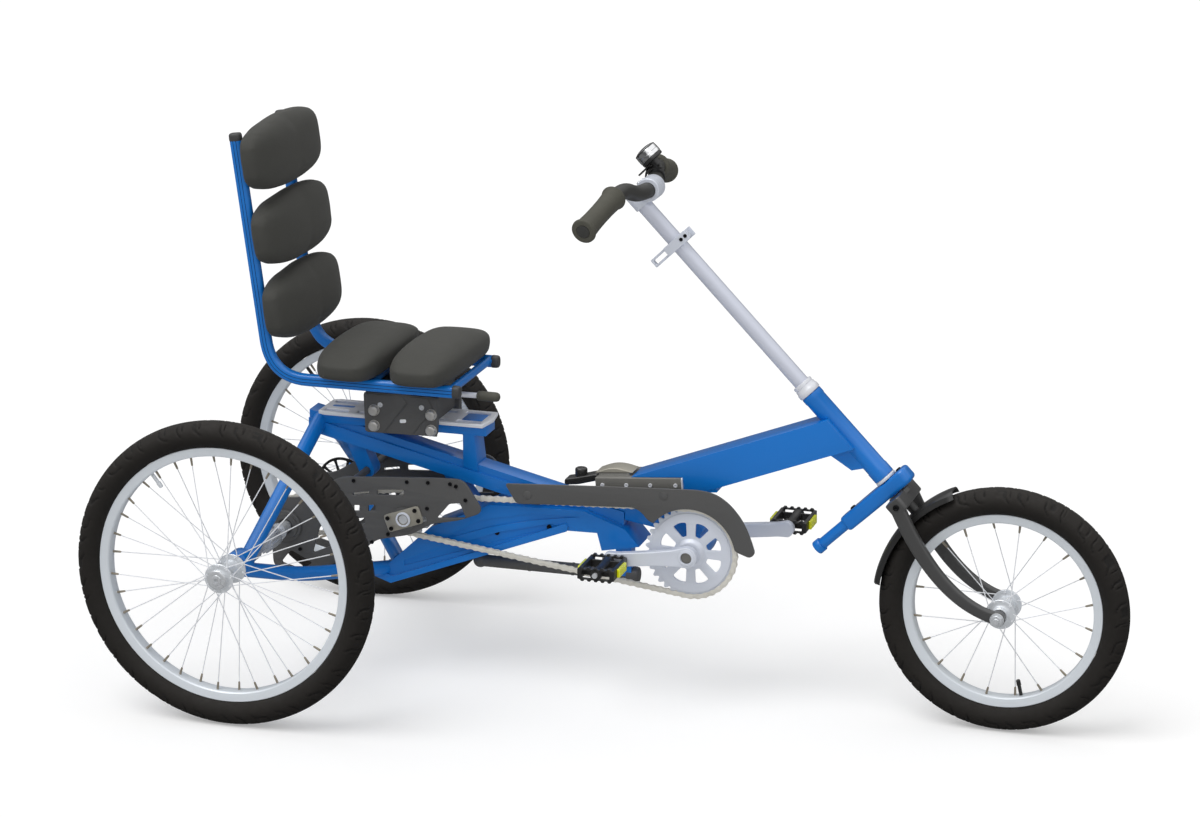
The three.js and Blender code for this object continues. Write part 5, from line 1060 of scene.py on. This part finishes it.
def bolts_on(nodes, spots, radius):
    heads = []
    for node, (_, side) in zip(nodes, SIDES):
        faces = [side_face(node, x, z, side) for x, z in spots]
        heads += [socket_bolt(face, LEFT * side, radius, 2.2, 24) for face in faces if face is not None]
    return heads


def screws(name, heads, body):
    make(name, heads, body, "crank_alloy", look="screw_black")


screws("beam_bolts", bolts_on(["lower_beam", "lower_beam"], BEAM_BOLTS, 4.0), "frame")
carriers = [name + "_carrier_plate" for name, _ in SIDES]
screws("carrier_bolts", bolts_on(carriers, CARRIER_BOLTS, 3.2), "frame")

# %% The chain guard
GUARD_SHARES = [(0.048, 0.523), (0, 0.83), (0.4, 0.925), (0.776, 1), (0.84, 0.965), (0.895, 0.832),
                (0.947, 0.6), (0.979, 0.336), (1, 0.084), (0.979, 0), (0.917, 0.084), (0.893, 0.3),
                (0.86, 0.43), (0.585, 0.4), (0.535, 0.636)]
GUARD_RADII = [7, 7] + [45] * 7 + [9, 9, 20, 20, 14, 16]
GUARD_STEP, HOOK_RADIUS, HOOK_REACH = 3, 76.0, 60


def guard_outline():
    """Rounded corners with no step longer than three millimetres; the hook follows a circle."""
    low, high = (Vector((corner.x, corner.z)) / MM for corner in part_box("chain_guard"))
    spots = [Vector(p) for p in of_shares(GUARD_SHARES, low, high - low)]
    line = []
    for i, spot in enumerate(spots):
        after = spots[(i + 1) % len(spots)]
        line += round_corner(spots[i - 1], spot, after, GUARD_RADII[i], np.linspace(0, 1, 8))
    outline = []
    for i, spot in enumerate(line):
        gap = line[(i + 1) % len(line)] - spot
        pieces = max(1, math.ceil(gap.length / GUARD_STEP))
        for k in range(pieces):
            point = spot + gap * (k / pieces)
            away = point - crank_spot
            if away.length < HOOK_RADIUS and away.x > -HOOK_REACH:
                point = crank_spot + away.normalized() * HOOK_RADIUS
            outline.append(tuple(point))
    return outline


guard_skin = [plate([guard_outline()], 3, LEFT * (-59.5 * MM), 1.1, rounds=3)]
for x, z, back in ((412, 336, 20), (640, 355, 33)):
    guard_skin.append(disc_rod(at(x, -59, z), LEFT, 59 - back, 4.5))
    guard_skin.append(revolve([(0, 7), (0.8, 6.6), (1.2, 5.6), (1.2, 0)], at(x, -61, z), -LEFT, 28))
make("guard_skin", guard_skin, "frame", "dark_paint", ["chain_guard"])

# %% Bolts and rings of the shaft bearings
BEARING_TILT = Matrix.Rotation(math.radians(20), 2)
bearing_bolts, bearing_rings = [], []
for _, side in SIDES:
    for corner in ((-25, -9), (-25, 9), (25, -9), (25, 9)):
        x, z = BEARING_TILT @ Vector(corner)
        bearing_bolts.append(socket_bolt(at(206 + x, side * 80.2, 281 + z), LEFT * side, 3.6, 2.2))
    bearing_rings.append(revolve([(-0.5, 12.6), (1.4, 12.2), (2, 10.8), (2, 9.6), (0.6, 9.2)],
                                 at(206, side * 80.2, 281), LEFT * side, 48))
screws("bearing_bolts", bearing_bolts, "frame")
make("bearing_rings", bearing_rings, "frame", "crank_alloy")

# %% [markdown]
# ## The seat
#
# The seat frame is one oval tube on each side, bent up behind the rider and closed with grey plugs. Two thin
# dark lines along its outer face are a painted reflection. Cross bars carry the cushions. The carriage below
# holds the rail between
# two dark plates with large domed bolts, and a cam handle with a rubber sleeve locks it.

# %% The oval side tubes, plugs and cross bars
SEAT_SIDE, SEAT_LEVEL, SEAT_BEND = 97.8, 508.5, 0.062
TUBE_HIGH, TUBE_WIDE, TUBE_SQUARE = 20.0, 16.0, 0.72
REFLECTION_LINE_OUT, REFLECTION_LINE_HALF = 7.75, 2.6
BACK_BEND, BACK_TOP = at(-9.67, 0, SEAT_LEVEL), at(-61.6, 0, 907)
PLUG_STEPS = [(-2, 14.4, 18.4), (0, 16.4, 20.4), (1.2, 17, 21), (8, 16.6, 20.6), (10.6, 15, 19),
              (11.7, 12, 16), (12, 8, 11)]
back_way = (BACK_TOP - BACK_BEND).normalized()
pad_way = Vector((back_way.z, 0, -back_way.x))


def seat_line(side):
    spots = [at(301.5, 0, SEAT_LEVEL), BACK_BEND, BACK_TOP - back_way * 0.012]
    return [p + LEFT * (side * SEAT_SIDE * MM) for p in rounded(spots, SEAT_BEND, 14)]


def cross_bar(radius, centre):
    return revolve([(-SEAT_SIDE, radius), (SEAT_SIDE, radius)], centre, LEFT, 32)


seat_tubes, reflection_lines, plugs = [], [], []
for side in (-1, 1):
    line, out = seat_line(side), LEFT * side
    seat_tubes.append(sweep(line, TUBE_WIDE, TUBE_HIGH, sides=40, square=TUBE_SQUARE))
    # Painted reflection: two thin dark lines along the outer face of each tube.
    for lift in (-REFLECTION_LINE_HALF, REFLECTION_LINE_HALF):
        reflection_line = []
        for i, spot in enumerate(line):
            way = (line[min(i + 1, len(line) - 1)] - line[max(i - 1, 0)]).normalized()
            reflection_line.append(spot + (out * REFLECTION_LINE_OUT + way.cross(out) * lift) * MM)
        reflection_lines.append(sweep(reflection_line, 1.0, 0.9, sides=8))
    for end, way in ((line[0], (line[0] - line[1]).normalized()), (line[-1], back_way)):
        runs, widths, heights = zip(*PLUG_STEPS)
        plugs.append(sweep([end + way * (run * MM) for run in runs], widths, heights, LEFT, 32, TUBE_SQUARE))
for x, radius, lift in ((152, 8, 0), (244, 8, 0), (296, 7, 2)):
    seat_tubes.append(cross_bar(radius, at(x, 0, SEAT_LEVEL + lift)))
for height in (620, 741, 862):
    seat_tubes.append(cross_bar(8, BACK_BEND + back_way * ((height * MM - BACK_BEND.z) / back_way.z)))
make("seat_tubes", seat_tubes, "seat", "frame_blue", ["seat_frame"])
# The dark lines are a painted reflection along the tubes.
make("seat_tube_painted_reflection", reflection_lines, "seat", "frame_blue", look="screw_black")
make("seat_plugs", plugs, "seat", "frame_blue", look="cap_plastic")

# %% The carriage, its bolts and the cam handle
CARRIAGE_PANELS = [[(136, 420), (168, 420), (208, 472), (200, 483), (136, 483)],
                   [(170.5, 420), (216, 420), (253, 465), (244, 483), (202.5, 483), (210.5, 472)],
                   [(218.5, 420), (260, 420), (260, 483), (246.5, 483), (255.5, 465)]]
CARRIAGE_SLOT = [(196, 438), (207, 439), (207, 445), (196, 444)]
domed_head = [(0, 0), (0, 9.6), (1.2, 9.6), (1.6, 9.2), (1.6, 8.7), (5.4, 8.6), (7.2, 7.8), (8.3, 6),
              (8.8, 3.4), (8.9, 0)]
soften("seat_carriage", 1.6, "dark_paint", 3)
carriage_bolts, small_bolts, face_panels, panel_slots = [], [], [], []
panel_outlines = [flat_rounded(spots, 2, 3) for spots in CARRIAGE_PANELS]
slot_outline = flat_rounded(CARRIAGE_SLOT, 2.6, 5)
for side in (-1, 1):
    out = LEFT * side
    for x, z in ((152, 430), (152, 456), (250, 430), (250, 456)):
        carriage_bolts.append(revolve(domed_head, at(x, side * 60, z), out, 48))
    small_bolts += [socket_bolt(at(x, side * 60.6, z), out, 4.4, 2.0) for x, z in ((163, 466), (234, 467))]
    face_panels += [plate([outline], 1.2, at(0, side * 60.4, 0)) for outline in panel_outlines]
    panel_slots.append(plate([slot_outline], 0.6, at(0, side * 61, 0), 0.2, rounds=1))
make("carriage_bolts", carriage_bolts, "seat", "rail_alloy", look="bolt_zinc")
make("carriage_panels", face_panels, "seat", "dark_paint")
make("carriage_slots", panel_slots, "seat", "dark_paint", look="spoke_white")
make("carriage_screws", small_bolts, "seat", "dark_paint", look="axle_steel")

latch_rod = revolve([(0, 0), (0, 4.5), (57, 4.5), (57, 0)], at(260.3, -24, 484), FORWARD, 28)
make("latch_rod", [latch_rod], "latch", "rail_alloy", ["latch_lever"])
sleeve = [(0, 4.6), (0, 6), (0.8, 7.2), (2, 8), (4, 8), (4.6, 7.4), (5.6, 7.4), (6.2, 8), (28, 8), (33, 7.6),
          (36.4, 6), (37.8, 3.4), (38, 0)]
latch_sleeve = revolve(sleeve, at(316.6, -24, 484), FORWARD, 36)
make("latch_sleeve", [latch_sleeve], "latch", "grip_rubber", ["latch_grip"])

# %% [markdown]
# ## The cushions
#
# Five slabs of foam in a smooth covering. A slab could be drawn with a rounded box, but then its face stays
# flat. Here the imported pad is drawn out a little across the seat, meshed evenly, drawn in at its ends and
# blown up as cloth, so the covering swells between its corners. A cap on each point's travel keeps every
# pad inside its own room.

# %% Blowing the pads up
PAD_LENGTH, PAD_VOXEL, PAD_PRESSURE, PAD_FRAMES, PAD_CAP = 1.08, 0.0045, 2.0, 20, 0.003
PAD_TAPER, PAD_SEAM, PAD_WRAP, PAD_EASE = 0.05, 0.4, 12.0, 14
SEAT_BARREL, BACK_BARREL, SEAT_CROWN, BACK_CROWN = 0.14, 0.2, 12.0, 5.0
PADS = ["seat_pad_rear", "seat_pad_front", "back_pad_lower", "back_pad_middle", "back_pad_upper"]


def settled_mesh(piece):
    """The mesh with its modifiers applied."""
    graph = bpy.context.evaluated_depsgraph_get()
    mesh = bpy.data.meshes.new_from_object(piece.evaluated_get(graph))
    piece.modifiers.clear()
    return mesh


def pad_copy(node):
    """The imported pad, drawn out a little across the seat and meshed evenly."""
    source = frame["nodes"][node]
    mesh = source.data.copy()
    centre = middle(node)
    longer = Matrix.Diagonal((1, PAD_LENGTH, 1)).to_4x4()
    mesh.transform(Matrix.Translation(centre) @ longer @ Matrix.Translation(-centre) @ source.matrix_world)
    piece = bpy.data.objects.new(node + "_cushion", mesh)
    scene.collection.objects.link(piece)
    remesh = piece.modifiers.new("even", "REMESH")
    remesh.mode = "VOXEL"
    remesh.voxel_size = PAD_VOXEL
    piece.data = settled_mesh(piece)
    return piece


def shape_pad(piece, node):
    """Draws the ends in, tapers the face and sets the ends of a back pad back over the tubes."""
    seat = node.startswith("seat")
    crown_way = UP if seat else pad_way
    barrel, crown, wrap = (SEAT_BARREL, SEAT_CROWN, 0) if seat else (BACK_BARREL, BACK_CROWN, PAD_WRAP)
    centre, half_length = middle(node), size_of(node).y / 2 * MM * PAD_LENGTH
    reach = [(v.co - centre).dot(crown_way) for v in piece.data.vertices]
    lowest, highest = min(reach), max(reach)
    for vertex, level in zip(piece.data.vertices, reach):
        share = max(0.0, (level - lowest) / (highest - lowest) - PAD_SEAM) / (1 - PAD_SEAM)
        away = vertex.co - centre
        end = abs(away.y) / half_length
        flat = away - crown_way * level
        vertex.co -= flat * (PAD_TAPER * share ** 2)
        vertex.co -= (flat - LEFT * away.y) * (barrel * end ** 2.2)
        vertex.co -= crown_way * (crown * MM * share * end ** 3 + wrap * MM * (end ** 2 - 0.35))


def spots_of(mesh):
    spots = np.empty(3 * len(mesh.vertices))
    mesh.vertices.foreach_get("co", spots)
    return spots.reshape(-1, 3)


def blow_up(piece):
    start = spots_of(piece.data)
    cloth = piece.modifiers.new("cover", "CLOTH")
    cloth.settings.use_pressure = True
    cloth.settings.uniform_pressure_force = PAD_PRESSURE
    cloth.settings.effector_weights.gravity = 0
    cloth.settings.quality = 5
    cloth.settings.tension_stiffness = 30
    cloth.point_cache.frame_end = PAD_FRAMES
    for number in range(1, PAD_FRAMES + 1):
        scene.frame_set(number)
    travel = spots_of(settled_mesh(piece)) - start
    length = np.linalg.norm(travel, axis=1, keepdims=True)
    allowed = PAD_CAP * np.tanh(length / PAD_CAP)
    piece.data.vertices.foreach_set("co", (start + travel * allowed / np.maximum(length, 1e-9)).ravel())
    scene.frame_set(1)


def ease(piece):
    """Smooths the covering and meshes it finer."""
    relax = piece.modifiers.new("relax", "SMOOTH")
    relax.factor = 0.5
    relax.iterations = PAD_EASE
    finer = piece.modifiers.new("finer", "SUBSURF")
    finer.levels = finer.render_levels = 1
    piece.data = settled_mesh(piece)
    piece.data.polygons.foreach_set("use_smooth", [True] * len(piece.data.polygons))


for node in PADS:
    piece = pad_copy(node)
    shape_pad(piece, node)
    blow_up(piece)
    ease(piece)
    piece.data.materials.clear()
    piece.data.materials.append(FINISHES["pad_vinyl"])
    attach(piece, "seat")
    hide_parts(node)
    print(f"{piece.name}: {len(piece.data.polygons)} faces")

# %% [markdown]
# ## The boom and its clamp
#
# The front half of the tricycle slides in the clamp housing to suit the rider's legs. A cam lever with a
# round knob sits under the seat side of it. The welded head tube is turned again with fine steps.

# %% The head tube and its rings
HEAD_TOP, HEAD_ANGLE = at(581, 0, 819), math.radians(46.13)
HEAD_WAY = Vector((math.cos(HEAD_ANGLE), 0, -math.sin(HEAD_ANGLE)))
HEAD_OUT = Vector((math.sin(HEAD_ANGLE), 0, math.cos(HEAD_ANGLE)))


def head_at(run, out=0.0, side=0.0):
    """A point measured down the steering axis, away from it in front, and to the rider's left."""
    return HEAD_TOP + (HEAD_WAY * run + HEAD_OUT * out + LEFT * side) * MM


def on_column(profile, loop=True):
    return revolve(profile, HEAD_TOP, HEAD_WAY, 64, loop)


soften("front_beam", 3.2, "frame_blue", 3)
head_sleeve = [(406.3, 12.9), (406.3, 17.2), (407, 17.8), (416, 17.8), (417.4, 17.1), (562, 17.1),
               (563.4, 17.8), (580, 17.8), (580.7, 17.2), (580.7, 12.9)]
upper = [(384, 12.9), (384, 16), (385, 17), (389, 17), (389.6, 16.2), (390.6, 16.2), (391.2, 17.4),
         (396, 17.8), (397, 18.6), (399, 19), (404, 19), (405.2, 18.4), (405.6, 17.4), (405.6, 12.9)]
lower = [(574.4, 12.9), (574.4, 16), (581, 16.4), (581.4, 17.6), (582.4, 18.2), (584, 18.2), (586, 17.6),
         (586.5, 16.6), (586.5, 12.9)]
make("head_tube_sleeve", [on_column(head_sleeve)], "boom", "frame_blue")
make("headset_top_rings", [on_column(upper)], "boom", "rail_alloy", ["headset_upper"])
make("headset_low_rings", [on_column(lower)], "boom", "rail_alloy", ["headset_lower"])

# %% The clamp housing's cover and trim, and the cam lever
SLIDE_TILT = math.radians(4.7)
SLIDE_WAY = Vector((math.cos(SLIDE_TILT), 0, math.sin(SLIDE_TILT)))
SLIDE_UP = Vector((-math.sin(SLIDE_TILT), 0, math.cos(SLIDE_TILT)))


def slide_at(run, rise, side=0.0):
    """A point along the clamp housing, above it and to the rider's left, from the middle of the slide."""
    return at(590, 0, 357) + (SLIDE_WAY * run + SLIDE_UP * rise + LEFT * side) * MM


cover_arc = [(run, 19.5 + 7.0 * math.cos(math.pi * (run + 44) / 62)) for run in np.linspace(-75, -13, 17)]
cover = plate([[(-75, 19.0)] + cover_arc + [(-13, 19.0)]], 37, slide_at(0, 0), 1.2, SLIDE_WAY, SLIDE_UP, 3)
make("boom_cover", [cover], "frame", "housing_alloy")
trim = []
for side in (-1, 1):
    strip = oblong(-70, 70, -14, -8, 2)
    trim.append(plate([strip], 1.4, slide_at(0, 0, side * 33.4), 0.4, SLIDE_WAY, SLIDE_UP))
    trim += [socket_bolt(slide_at(run, 3, side * 33), LEFT * side, 3.4, 2.0, 24) for run in (-60, -20, 20, 62)]
trim.append(plate([panel(33, 15, 4), panel(28, 10, 2)], 2.4, slide_at(72.4, 0), 0.6, LEFT, SLIDE_UP))
make("boom_trim", trim, "frame", "housing_alloy", look="rail_alloy")

eye = Vector((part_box("boom_lever")[1].x - 0.006, 0, 359.6 * MM))
outline = flat_rounded([(6, -4), (6, 4), (0, 6), (-30, -2), (-52, -6.6), (-52, -17), (-28, -14), (0, -6)], 4)
knob = [(-8, 0), (-8, 7), (-6, 9.6), (2, 10), (8.6, 10), (10.4, 9.2), (11.4, 7.4), (11.6, 5), (10.6, 4.4),
        (10.4, 0)]
handle = [plate([outline], 26, eye, 2.4, rounds=3), revolve(knob, eye + FORWARD * (-27 * MM), UP, 40),
          revolve(mirrored([(13.4, 0), (13.4, 3.4)]), eye, LEFT, 28)]
make("clamp_handle", handle, "boom_clamp", "black_plastic", ["boom_lever"])

# %% [markdown]
# ## Steering
#
# The column runs through the head tube to the fork crown. A slotted bracket rides high on it, a blue arm
# low. The bar is one bent tube with a wave, the grips swell towards their flanges, and the bell leans back
# on its own post.

# %% Column, bracket and steering arm
BRACKET_AT, ARM_AT = head_at(90), head_at(599.5)
column = on_column([(0.4, 0), (0.4, 11.4), (1.2, 12.7), (612.6, 12.7), (613.4, 11.8), (613.4, 0)], loop=False)
make("column_tube", [column], "steering", "column_chrome", ["steering_column"])

slotted_arm = [oblong(-53, -14, -7.5, 7.5, 1.5), oblong(-49.6, -19, -3.6, 3.6, 1.2)]
bracket = [on_column([(83.2, 12.8), (83.2, 15.6), (83.8, 16.2), (96.2, 16.2), (96.8, 15.6), (96.8, 12.8)]),
           plate(slotted_arm, 9, BRACKET_AT, 0.8, HEAD_OUT, HEAD_WAY),
           plate([oblong(14, 25, -7, 7, 3)], 9, BRACKET_AT, 0.8, HEAD_OUT, HEAD_WAY)]
cheek = oblong(-20, 27, -8, 8, 1.6)
for side in (-1, 1):
    bracket.append(plate([cheek], 3.2, head_at(90, 0, side * 15.2), 0.7, HEAD_OUT, HEAD_WAY))
bracket.append(revolve(mirrored([(14, 0), (14, 3.4)]), head_at(90, 20), LEFT, 28))
make("slotted_bracket", bracket, "steering", "crank_alloy", ["clamp_bracket"])

arm_shape = flat_rounded([(-104, -11), (-50, -20), (38, -20), (38, 20), (-50, 20), (-104, 11)], 16, 10)
arm_tube = [(-9, 0), (-9, 9), (68, 9), (71, 8.6), (73.6, 7), (74.6, 4), (74.8, 0)]
arm_ring = [(0, 9), (0, 11), (0.8, 11.5), (11, 11.5), (12, 11), (12, 9)]
arm = [plate([arm_shape, circle(12.9, 48)], 25.4, ARM_AT, 6.0, HEAD_OUT, LEFT, 5),
       revolve(arm_tube, head_at(599.5, -92), -HEAD_OUT, 40),
       revolve(arm_ring, head_at(599.5, -154), -HEAD_OUT, 40)]
make("arm_and_tube", arm, "steering", "frame_blue", ["steering_arm"])
arm_bolts = [socket_bolt(head_at(587.3, place), -HEAD_WAY, 4.6, 3.0) for place in (-74, 25)]
arm_bolts += [socket_bolt(head_at(90, place, side * 16.6), LEFT * side, 3.0, 1.6)
              for side in (-1, 1) for place in (14, 23)]
screws("steering_bolts", arm_bolts, "steering")

# %% Stem and handlebar
STEM = head_at(-1.94, 26.84)
BAR_WIDTH, BAR_START = 25.4, 18
GRIP_IN, GRIP_OUT = Vector((-24, 120, 9)), Vector((-40, 230, -22))


def grip_point(share, side):
    spot = GRIP_IN.lerp(GRIP_OUT, share)
    return STEM + Vector((spot.x, spot.y * side, spot.z)) * MM


def bar_wave(side):
    """The points from the stem to a grip's end: out, a little down, up to the bend and along the grip."""
    start, bend_at = STEM + LEFT * (side * BAR_START * MM), grip_point(-0.13, side)
    dip = start.lerp(bend_at, 0.42) + Vector((0.002, 0, -0.0045))
    rise = start.lerp(bend_at, 0.8) + Vector((0.001, 0, 0.004))
    return [start, dip, rise, grip_point(0, side), grip_point(0.9, side)]


stem_cap = [(-18, 0), (-18, 12), (-17, 15), (-15.6, 16), (10.6, 16), (12, 15), (12, 12.9)]
clamp_side = [(18, 12.8), (18, 17.6), (17, 18.8), (15.6, 19), (0.8, 19), (0.5, 18.2)]
stem = [on_column(stem_cap, loop=False), sweep([head_at(-2, 4), STEM], 22, 17, LEFT, 32, 0.7),
        revolve(mirrored(clamp_side), STEM, LEFT, 64, loop=True)]
make("stem_and_clamp", stem, "steering", "crank_alloy", ["handlebar_stem"])
stem_bolts = [socket_bolt(head_at(-17.6), -HEAD_WAY, 8, 3.4)]
for side in (-1, 1):
    bolt_at = STEM + Vector((-15.4, 10 * side, 8.4)) * MM
    stem_bolts.append(socket_bolt(bolt_at, Vector((-0.9, 0, 0.44)), 3.6, 4.0))
make("stem_bolts", stem_bolts, "steering", "crank_alloy", look="axle_steel")

bar_line = rounded(list(reversed(bar_wave(-1))) + bar_wave(1), 0.03, 12)
make("bar_tube", [sweep(bar_line, BAR_WIDTH, sides=40, across=UP)], "steering", "bar_paint", ["handlebar"])

for name, side in SIDES:
    inner, outer = grip_point(0, side), grip_point(1, side)
    way, run = outer - inner, (outer - inner).length / MM
    flange = [(0, 12.8), (0, 18.4), (0.8, 19.6), (2, 20), (3.4, 19.8), (5, 18.6), (8, 17.6)]
    waist = [(run * 0.3, 16.3), (run * 0.5, 16), (run * 0.7, 16.3)]
    # Each row: in from the grip's outer end, and the radius there.
    end = [(12, 17.4), (8, 18), (6, 19.3), (4, 20), (2, 19.7), (0.6, 18.6), (0, 17), (0, 11.4), (0.8, 11),
           (0.8, 9.8), (0, 9.4), (-0.2, 0)]
    shape = flange + waist + [(run - back, radius) for back, radius in end]
    plug = revolve([(-0.6, 10.4), (0.3, 10.2), (0.7, 8.6), (0.7, 0)], outer, way, 40)
    make(name + "_grip_plug", [plug], "steering", "bar_paint")
    make(name + "_grip_sleeve", [revolve(shape, inner, way, 64)], "steering", "grip_rubber", [name + "_grip"])

# %% The bell and its striker
BELL_LEAN, BELL_PLACE = math.radians(45), 60
bend, start = grip_point(-0.13, 1), STEM + LEFT * (BAR_START * MM)
foot = start.lerp(bend, (BELL_PLACE - BAR_START) / (bend.y / MM - BAR_START))
bell_at = foot + Vector((-2.5, 0, 25.8)) * MM
bell_way = Vector((-math.sin(BELL_LEAN), 0, math.cos(BELL_LEAN)))
bell_down = Vector((-math.cos(BELL_LEAN), 0, -math.sin(BELL_LEAN)))
dome = [(5.2, 18.4), (6.2, 19.5), (11.6, 19.6), (12, 19.3), (12.4, 19.6), (18.4, 19.3), (20.4, 18.6),
        (22, 17.2), (23.4, 14), (24.6, 9), (25.2, 4), (25.4, 0)]
make("bell_dome", [revolve(dome, bell_at, bell_way, 72)], "steering", "bell_chrome", ["bell"])
drum = [(0, 0), (0, 17.6), (0.8, 18.8), (4.4, 19.2), (5.4, 18.6), (5.4, 0)]
brim = [(19.6, 18.6), (20.2, 19.4), (21.4, 18.7), (22, 17.4), (21.4, 16.6)]
base = [revolve(drum, bell_at, bell_way, 64),
        revolve([(-10.5, 0), (-10.5, 8), (0.2, 8)], bell_at, bell_way, 32),
        sweep([foot + UP * (6 * MM), bell_at - bell_way * (10.5 * MM)], 16, 16, LEFT, 32),
        revolve(mirrored([(6, 12.9), (6, 15), (5, 16)]), foot, bend - start, 48, loop=True),
        revolve(brim, bell_at, bell_way, 72)]
make("bell_base", base, "steering", "bell_chrome", look="black_plastic")
tab = flat_rounded([(8.6, -4.5), (30, -4.5), (36, -3), (36, 3), (30, 4.5), (8.6, 4.5)], 2.4)
striker = plate([tab], 2.8, bell_at - bell_way * (1.9 * MM), 0.8, bell_down, LEFT, 3)
make("bell_striker_tab", [striker], "bell_striker", "black_plastic", ["bell_lever"])

# %% [markdown]
# ## The fork and the front guard
#
# Two flat blades sweep forward from a wide crown and taper to the dropouts. The short mudguard follows the
# tyre, with rolled edges, and hangs on a post under the crown.

# %% Fork blades and crown
BLADE_SIDE, BLADE_THICK, BLADE_STEPS = 48.0, 14.0, 32
BLADE_SHARES = [0, 0.18, 0.35, 0.52, 0.7, 0.86, 1]
BLADE_WIDTHS = [24, 24, 23, 21.6, 20.2, 19.2, 20.2]
front_centre = WHEELS["front"]["centre"]


def blade(side):
    top = head_at(626)
    pull = head_at(614 + 0.76 * ((top - front_centre).length / MM - 12), -54)
    shares = [k / BLADE_STEPS for k in range(BLADE_STEPS + 1)]
    spots = [top * (1 - t) ** 2 + pull * (2 * t * (1 - t)) + front_centre * t ** 2 for t in shares]
    path = [spot + LEFT * (side * BLADE_SIDE * MM) for spot in spots]
    widths = [float(np.interp(t, BLADE_SHARES, BLADE_WIDTHS)) for t in shares]
    return sweep(path, BLADE_THICK, widths, LEFT, 40, 0.55)


fork, fork_bolts = [], [socket_bolt(head_at(637.6), HEAD_WAY, 6, 3.0)]
for side in (-1, 1):
    eye_at = front_centre + LEFT * (side * BLADE_SIDE * MM)
    fork += [blade(side), revolve(mirrored([(7, 5.3), (7, 11), (6, 12)]), eye_at, LEFT, 48, loop=True)]
    fork_bolts.append(socket_bolt(head_at(626, 0, side * 54.6), LEFT * side, 5, 2.6))
fork.append(plate([panel(14.4, 55, 7)], 24, head_at(626), 2.6, HEAD_OUT, LEFT, 4))
fork.append(on_column([(613.9, 12), (613.9, 19), (615, 20), (622, 20), (622, 12)]))
make("fork_blades", fork, "steering", "fork_paint", ["fork"])
screws("fork_bolts", fork_bolts, "steering")

# %% Front axle and nuts
washer = [(0, 5), (0, 11.4), (1.4, 11.4), (1.8, 10.8), (1.8, 5)]
hexagon_nut = [(0, 0), (0, 9.6), (4.928, 9.6), (5.6, 8.64), (5.6, 0)]
front_bar = [spindle_bar(65, 5, 4.2, front_centre, 28)]
for side in (-1, 1):
    out = LEFT * side
    front_bar.append(revolve(washer, front_centre + out * (55.2 * MM), out, 40))
    front_bar.append(revolve(hexagon_nut, front_centre + out * (57 * MM), out, 6))
make("front_axle_and_nuts", front_bar, "steering", "axle_steel", ["front_axle"])

# %% The front mudguard
GUARD_FROM, GUARD_TURN, GUARD_PARTS = math.radians(114), math.radians(58), 80
GUARD_GAP, GUARD_NARROW, NARROW_PARTS = 7, 0.16, 4
guard_in = WHEELS["front"]["radius"] + GUARD_GAP
inside = mirrored([(26.9, -9.4), (26, -10), (24.8, -9.2), (22, -3.6), (16, -0.6), (8, 0.1), (0, 0.2)])
outside = mirrored([(24, -1.8), (17, 1.4), (8, 2.1), (0, 2.2)])
sheet = []
for i in range(GUARD_PARTS + 1):
    c, s = polar(1, GUARD_FROM + GUARD_TURN * i / GUARD_PARTS)
    fade = max(0.0, 1 - min(i, GUARD_PARTS - i) / NARROW_PARTS) ** 2
    for y, r in inside + list(reversed(outside)):
        y *= 1 - GUARD_NARROW * fade
        sheet.append(front_centre + Vector((c * (guard_in + r), y, s * (guard_in + r))) * MM)
post_foot = front_centre + (head_at(638) - front_centre).normalized() * ((guard_in + 1) * MM)
guard = [(sheet, tube_faces(GUARD_PARTS + 1, len(inside + outside))),
         sweep([head_at(638.2), post_foot], 16, 16, LEFT, 32)]
make("front_guard_shell", guard, "steering", "black_plastic", ["front_mudguard"])
